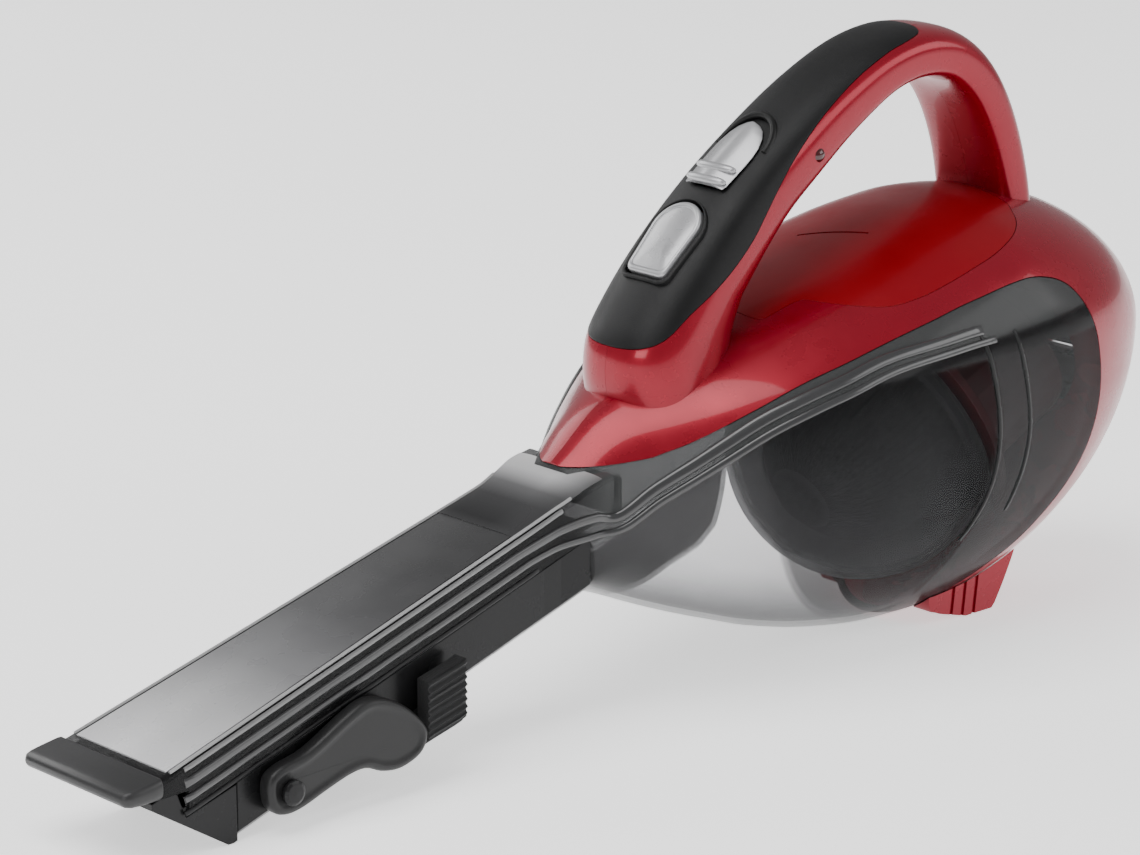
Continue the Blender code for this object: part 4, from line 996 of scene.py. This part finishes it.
bowl = body("bowl", 0.0)
combine(bowl, prism("b1", fine_bowl_profile(-GAP), -79, 79), "INTERSECT")
duct = loft("b2", duct_rings(0.0, [-196, -180, -165, -150, -130, -110, -90, -75, -60, -50, -45, -41, -38, -35, -32, -29, -26, -22, -18]))
combine(duct, prism("b3", [(-260, -20), (-186.6, -20), (-186.6, 20.7), (-260, 20.7)], -40, 40))
combine(bowl, duct, "UNION")
hollow = body("b4", BOWL_WALL, None, 80)
edge = offset_line(smooth_line(BOWL_EDGE, 5), -GAP - BOWL_WALL)
edge = [p for p in edge if p[0] < 98.9][:60]
combine(hollow, prism("b5", edge + [(104, 140), (240, 140), (240, -40), (-60, -40)], -78, 78), "INTERSECT")
combine(bowl, hollow)
combine(bowl, loft("b6", duct_rings(1.8, [-200, -180, -150, -120, -100, -80, -60, -45, -38, -32, -26, -14])))
combine(
    bowl,
    loft("b7", [[(w, y, nozzle_top(y) + 3), (w, y, nozzle_top(y) - 0.7), (-w, y, nozzle_top(y) - 0.7), (-w, y, nozzle_top(y) + 3)] for y in (-193, -150, -100, -56) for w in [nozzle_half(y) - 2.6]]),
)
finish(bowl, "clear_bowl", "bowl", SMOKE, ["dust_bowl"])
finish(
    loft("w1", [[(w, y, nozzle_top(y) + 0.1), (w - 0.3, y, nozzle_top(y) + 0.25), (-w + 0.3, y, nozzle_top(y) + 0.25), (-w, y, nozzle_top(y) + 0.1), (-w, y, nozzle_top(y) - 0.45), (w, y, nozzle_top(y) - 0.45)]
                for y in np.linspace(-192.7, -56.3, 40) for w in [nozzle_half(y) - 2.8]]),
    "nozzle_screen", "bowl", WINDOW, ["nozzle_window"],
)


# neck piece: its material paints a shade line and a reflection onto it
sweep = []
for y in np.linspace(-57.4, -22, 30):
    w = nozzle_half(y) - 1.2
    t = nozzle_top(y) + 0.05
    ring = [(u * w, y, t + 0.5 - 0.55 * abs(u) ** 8) for u in np.linspace(-1, 1, 21)]
    ring += [(u * w, y, t - 0.45) for u in np.linspace(1, -1, 21)]
    sweep.append(ring)
sweep = loft("sweep", sweep)
combine(sweep, prism("n1", fine_bowl_profile(-0.5), -60, 60), "INTERSECT")
finish(sweep, "neck_sweep", "bowl", NECK_PAINTED_REFLECTION, angle=50)
# thin rods along the window's side edges, coloured light grey as a painted edge highlight
for side, tag in ((1, "left"), (-1, "right")):
    line = []
    for y in np.linspace(-192.4, -34, 60):
        x = side * (nozzle_half(y) - 1.5)
        z = nozzle_top(y) - 0.05
        line.append([(x + 0.62 * math.cos(a), y, z + 0.62 * math.sin(a)) for a in np.linspace(0, 2 * math.pi, 8, endpoint=False)])
    finish(loft(f"n2{tag}", line), f"window_line_{tag}", "bowl", PAINTED_EDGE_HIGHLIGHT, angle=60)

# ------------------------------------------------------------------ filter set
cup_profile = [(0.0, 60.0)]
for a in np.linspace(4, 84, 22):
    r = math.radians(a)
    cup_profile.append((44.0 * math.sin(r), 17.0 + 43.0 * math.cos(r)))
cup_profile += [(44.0, 14.0), (43.2, 9.0), (45.4, 7.8), (45.4, 3.4), (41.2, 3.4), (41.4, 9.0), (42.2, 14.0)]
for a in np.linspace(84, 4, 22):
    r = math.radians(a)
    cup_profile.append((42.2 * math.sin(r), 17.0 + 41.0 * math.cos(r)))
cup_profile.append((0.0, 58.0))
finish(turned("f1", cup_profile, on_axis(0), FWD, 128), "prefilter_shell", "filter", CUP, ["prefilter_cup"])

PLEATS = 72
rings = []
for s, r_out in [(3.6, 36.5), (8, 36.5), (9.2, 32.0), (13, 31.4)] + [(17 + 31 * math.cos(math.radians(a)), 31 * math.sin(math.radians(a))) for a in (86, 78, 70, 62, 54, 46, 38, 31, 25, 20)]:
    ring = []
    for i in range(4 * PLEATS):
        a = 2 * math.pi * i / (4 * PLEATS)
        depth = 1.7 * r_out / 36.5
        r = r_out - depth * (0.5 - 0.5 * math.cos(a * PLEATS))
        ring.append(on_axis(s, r * math.cos(a), r * math.sin(a)))
    rings.append(ring)
pleats = loft("f2", rings)
finish(pleats, "pleat_pack", "filter", PAPER, ["pleated_filter"], angle=80)
finish(
    turned("f3", [(0.0, 49.2), (5, 48.9), (9.5, 47.6), (11.8, 45.6), (12.2, 44.0), (11.5, 42.5), (0.0, 42.5)], on_axis(0), FWD, 64),
    "pleat_crown", "filter", CUP_RIM, ["filter_cap"],
)
# painted highlight on the pleats: faces from each crest down one flank take the second material
pleats.data.materials.append(PLEAT_CREST_HIGHLIGHT)
for face in pleats.data.polygons:
    mid = face.center / TO_M + Vector((0, MIDDLE, 0))
    rel = mid - Vector(on_axis(0))
    fwd = Vector(FWD).normalized()
    off = rel - fwd * rel.dot(fwd)
    side_way = Vector((1, 0, 0))
    up_way = fwd.cross(side_way)
    turn = math.atan2(off.dot(up_way), off.dot(side_way)) * PLEATS / (2 * math.pi)
    if (turn % 1.0) < 0.3:
        face.material_index = 1

# ------------------------------------------------------------------ rails and seams on the smoke plastic
def skin(y, z):
    """Half width of the duct or the bowl at a height."""
    w = nozzle_half(y) if y < -20 else 0.0
    if y > -26:
        w = max(w * (1 if y < -20 else 0), body_half_at(y, z))
        if y < -12:
            w = max(w, 18.5)
    return w


def strip(name, path, width, height, mat, side=1, per=6, sink=0.5, slot="smoke", cross=7):
    """Raised bead that follows a side path (Y, Z) on the skin."""
    pts = smooth_line(path, per)
    rings = []
    n = len(pts)
    for i, (y, z) in enumerate(pts):
        a, b = np.array(pts[max(i - 1, 0)]), np.array(pts[min(i + 1, n - 1)])
        d = (b - a) / np.linalg.norm(b - a)
        across = np.array([-d[1], d[0]])
        e = 0.4
        dy = (skin(y + e, z) - skin(y - e, z)) / (2 * e)
        dz = (skin(y, z + e) - skin(y, z - e)) / (2 * e)
        nrm = Vector((1.0, -max(min(dy, 2), -2), -max(min(dz, 2), -2))).normalized()
        taper = min(1.0, 0.25 + 0.75 * min(i, n - 1 - i) / 2.0)
        ring = []
        for k in range(cross):
            t = math.pi * k / (cross - 1)
            u = width / 2 * math.cos(t)
            h = height * math.sin(t) ** 0.6 * taper
            yy, zz = y + across[0] * u, z + across[1] * u
            x = skin(yy, zz) + h * nrm.x
            ring.append((side * x, yy + nrm.y * h, zz + nrm.z * h))
        for u in (-width / 2, width / 2):
            yy, zz = y + across[0] * u, z + across[1] * u
            ring.append((side * (skin(yy, zz) - sink), yy, zz))
        rings.append(ring)
    return loft(name, rings)


def nozzle_path(drop, ys):
    return [(y, nozzle_top(y) - drop) for y in ys]


NY = list(np.linspace(-188, -48, 15))
RIB = [(-16.2, 62.5), (-4.3, 70.5), (5, 76.6), (22.5, 87.1), (36, 93.0), (51.8, 97.9), (71.1, 102.9), (96.5, 105), (113, 105.6)]
RIB_HIGH = [(y - 1.2, z + 3.6) for y, z in RIB]
for side, tag in ((1, "left"), (-1, "right")):
    finish(strip("r1", nozzle_path(1.3, NY + [-42, -38]), 1.3, 0.5, BEAD, side), f"nozzle_bead_{tag}", "bowl", BEAD, angle=60)
    finish(strip("r2", nozzle_path(5.6, NY[:-1]) + [(-50, 63.0), (-36, 66.0), (-26, 67.0)] + RIB_HIGH[:-1] + [(108, 109.2)], 3.0, 0.9, RAIL, side), f"upper_rail_{tag}", "bowl", RAIL, angle=60)
    finish(strip("r3", nozzle_path(10.4, NY[:-1]) + [(-50, 58.5), (-38, 60.5), (-27, 61.2)] + RIB, 2.2, 0.8, RAIL, side), f"lower_rail_{tag}", "bowl", RAIL, angle=60)
    finish(strip("r4", nozzle_path(14.6, NY), 1.6, 0.5, DARK, side), f"duct_foot_bead_{tag}", "bowl", DARK, angle=60)
    for k, path in enumerate((
        [(106.5, 108.0), (111.9, 92.6), (115.9, 78.4), (118.2, 64), (117, 50), (111.6, 36.3)],
        [(121.5, 107.0), (123.8, 100.3), (128.3, 86), (131.8, 71.6), (132.2, 57.4), (129.8, 43.3)],
    )):
        finish(strip(f"r5{k}", path, 1.5, 0.45, DARK, side), f"collar_seam_{k + 1}_{tag}", "bowl", DARK, angle=60)

# ------------------------------------------------------------------ nozzle lip, foot, brush
lip = []
for y, half, top, low in ((-210, 22.4, 23.6, 22.4), (-209.6, 23.3, 24.3, 21.6), (-208.8, 24.2, 24.9, 20.9), (-207, 24.7, 25.3, 20.5), (-203.5, 25.0, 25.8, 20.4), (-200, 25.1, 26.3, 20.5), (-197.4, 25.1, 26.7, 20.6), (-196.5, 24.9, 26.8, 20.8)):
    mid = (top + low) / 2
    hh = (top - low) / 2
    ring = []
    for a in np.linspace(-math.pi / 2, math.pi / 2, 9):
        ring.append((half - min(hh, 1.4) + min(hh, 1.4) * math.cos(a), y, mid + hh * math.sin(a)))
    ring += [(-x, yy, z) for x, yy, z in ring[::-1]]
    lip.append(ring)
finish(loft("lip", lip), "mouth_lip", "bowl", LIP, ["nozzle_lip"], angle=50)

foot = prism("foot", smooth_line([(161, 30), (161, 21), (156, 10), (151, 1.5)], 5) + [(149.5, 0.0), (137, 0.0)] + smooth_line([(129.5, 2.0), (122, 4.4), (119, 8), (119, 30)], 4), -25, 25)
combine(foot, body("f3", -GAP, None, 80))
for i, x in enumerate((-12, 12)):
    combine(foot, block(f"f4{i}", (x, 146, 0.4), (6.6, 8.6, 3.2)))
for i, y in enumerate((130.5, 136.0, 141.5)):
    for s in (1, -1):
        combine(foot, block(f"f5{i}", (s * 25.4, y, 8), (2.2, 1.5, 30), (0, 0.12, 1)))
finish(foot, "heel", "housing", RED, ["rear_foot"])


def closed_offset(points, by):
    pts = np.array(points, float)
    n = len(pts)
    area = sum(pts[i][0] * pts[(i + 1) % n][1] - pts[(i + 1) % n][0] * pts[i][1] for i in range(n))
    sign = 1 if area > 0 else -1
    out = []
    for i in range(n):
        d = pts[(i + 1) % n] - pts[i - 1]
        d = d / np.linalg.norm(d)
        out.append(tuple(pts[i] + sign * by * np.array([-d[1], d[0]])))
    return out


def closed_smooth(points, per=4):
    pts = list(points)
    ext = [pts[-1]] + pts + [pts[0], pts[1]]
    out = []
    for i in range(1, len(pts) + 1):
        p0, p1, p2, p3 = (np.array(ext[j], float) for j in (i - 1, i, i + 1, (i + 2) if i + 2 < len(ext) else 2))
        for j in range(per):
            t = j / per
            out.append(tuple(0.5 * (2 * p1 + (p2 - p0) * t + (2 * p0 - 5 * p1 + 4 * p2 - p3) * t * t + (3 * p1 - p0 - 3 * p2 + p3) * t**3)))
    return out


ARM = [
    (-160.5, 18), (-160.8, 12), (-158.5, 7.5), (-154, 6.0), (-148, 6.8), (-139, 9.8), (-130, 12.4), (-124, 12.6), (-118, 10.2), (-112, 9.4), (-106.5, 10.6), (-102.6, 12.8),
    (-100.6, 16.5), (-101.2, 20.5), (-106.0, 26.0), (-112, 30.4), (-119, 33.2), (-125, 33.2), (-133, 29.9), (-146, 23.4), (-156, 21.0),
]
arm_line = closed_smooth(ARM, 4)
arms = None
for s in (1, -1):
    rings = []
    for x, by in ((23.4, 0.5), (23.7, 0.1), (24.2, 0.0), (27.0, 0.0), (27.8, 0.25), (28.3, 0.8), (28.6, 1.7), (28.45, 2.4), (28.1, 3.0), (28.1, 4.2)):
        rings.append([(s * x, y, z) for y, z in closed_offset(arm_line, by)])
    arm = loft(f"arm{s}", rings)
    combine(arm, turned(f"bore{s}", [(0.0, 10), (2.85, 10), (2.85, -10), (0.0, -10)], (s * 26, *BRUSH_PIVOT), (s, 0, 0), 40))
    if arms is None:
        arms = arm
    else:
        combine(arms, arm, "UNION")
bridge = prism(
    "bridge",
    [(-113, 10.8), (-108, 11.2), (-103, 13.0), (-101.6, 15.2), (-101.8, nozzle_top(-101.6) - NOZZLE_HEIGHT - 0.9), (-113, nozzle_top(-113) - NOZZLE_HEIGHT - 0.9)],
    -24.5, 24.5,
)
combine(arms, bridge, "UNION")
finish(arms, "brush_arms", "brush", GREY, ["brush_frame"], angle=40)

# ribbed bristle strip: a U with ridges that run along the nozzle
u_pts = [(28.0, 33.5), (28.2, 16), (24.5, 12.6), (-24.5, 12.6), (-28.2, 16), (-28.0, 33.5), (-22.2, 33.5), (-22.2, 18.6), (-21, 17.4), (21, 17.4), (22.2, 18.6), (22.2, 33.5)]
u_side = []
for (x0, z0), (x1, z1) in zip(u_pts, u_pts[1:] + u_pts[:1]):
    run = math.hypot(x1 - x0, z1 - z0)
    outer = abs(x0) > 23.5 and abs(x1) > 23.5 or (z0 < 13 and z1 < 13)
    count = max(int(run / 0.5), 1)
    for i in range(count):
        t = i / count
        x, z = x0 + (x1 - x0) * t, z0 + (z1 - z0) * t
        if outer and run > 3:
            nx, nz = (z1 - z0) / run, -(x1 - x0) / run
            w = (0.5 + 0.5 * math.cos(2 * math.pi * (t * run) / 2.3)) ** 0.6 * 1.1
            x, z = x - w * math.copysign(abs(nx), x) , z + w * (1 if z < 13 and abs(nz) > 0.5 else 0)
        u_side.append((x, z))
rings = []
for i, (y, lift) in enumerate(((-99.7, 0.0), (-96, 1.0), (-92, 2.0), (-88, 3.0), (-85.4, 3.7), (-84.5, 3.9))):
    k = (1.0, 1.0, 1.0, 1.0, 0.995, 0.985)[i]
    rings.append([(x * k, y, z + lift) for x, z in u_side])
bristle = loft("bristle", rings)
combine(bristle, prism("clear", [(-130, 5), (-100.05, 5), (-99.9, 16.5), (-100.5, 21), (-105.6, 26.8), (-111, 36), (-130, 40)], -35, 35))
finish(bristle, "bristle_strip", "brush", BRISTLE, ["brush_bristles"], angle=30)

# ------------------------------------------------------------------ camera, floor, light
cam_data = bpy.data.cameras.new("view")
cam_data.lens = 143.7
cam_data.sensor_width = 36.0
cam = bpy.data.objects.new("view", cam_data)
bpy.context.scene.collection.objects.link(cam)
cam.location = place((991.2, -926.3, 480.6))
target = place((0.0, -18.0, 90.0))
cam.rotation_euler = (target - cam.location).to_track_quat("-Z", "Y").to_euler()
cam_data.clip_end = 50
bpy.context.scene.camera = cam


def pale():
    m, nt, p, out, coord = nodes_of("floor_pale")
    n = noise(nt, coord, 3.0, 3.0)
    nt.links.new(mix_colour(nt, remap(nt, n, 0.0, 1.0), (0.86, 0.86, 0.86), (0.9, 0.9, 0.9)), p.inputs["Base Color"])
    nt.links.new(remap(nt, noise(nt, coord, 40.0, 4.0), 0.75, 0.9), p.inputs["Roughness"])
    p.inputs["Specular IOR Level"].default_value = 0.1
    p.inputs["Emission Color"].default_value = (1, 1, 1, 1)
    p.inputs["Emission Strength"].default_value = 0.95
    return m


floor_mesh = bpy.data.meshes.new("floor")
bm = bmesh.new()
bmesh.ops.create_grid(bm, x_segments=2, y_segments=2, size=6.0)
bm.to_mesh(floor_mesh)
bm.free()
floor = new_obj("floor", floor_mesh)
floor.location.z = -0.0002
floor.data.materials.append(pale())


def lamp(name, where, aim, size, power, size_y=None, colour=(1, 1, 1)):
    data = bpy.data.lights.new(name, "AREA")
    data.energy = power
    data.color = colour
    data.size = size
    if size_y:
        data.shape = "RECTANGLE"
        data.size_y = size_y
    obj = bpy.data.objects.new(name, data)
    bpy.context.scene.collection.objects.link(obj)
    obj.location = where
    obj.rotation_euler = (Vector(aim) - Vector(where)).to_track_quat("-Z", "Y").to_euler()
    return obj


lamp("key", (-0.1, -0.7, 1.9), (0, 0, 0.1), 1.5, 34)
lamp("side", (1.3, 1.1, 0.9), (0, 0.05, 0.1), 1.6, 12, 0.9)
lamp("front", (0.5, -1.9, 0.7), (0, 0, 0.08), 0.9, 7, 0.5)
lamp("left", (-1.5, -0.2, 0.8), (0, 0, 0.1), 1.0, 9)

world = bpy.data.worlds.new("soft_studio")
bpy.context.scene.world = world
world.use_nodes = True
wt = world.node_tree
wt.nodes["Background"].inputs["Color"].default_value = (0.95, 0.95, 0.96, 1)
wt.nodes["Background"].inputs["Strength"].default_value = 0.38
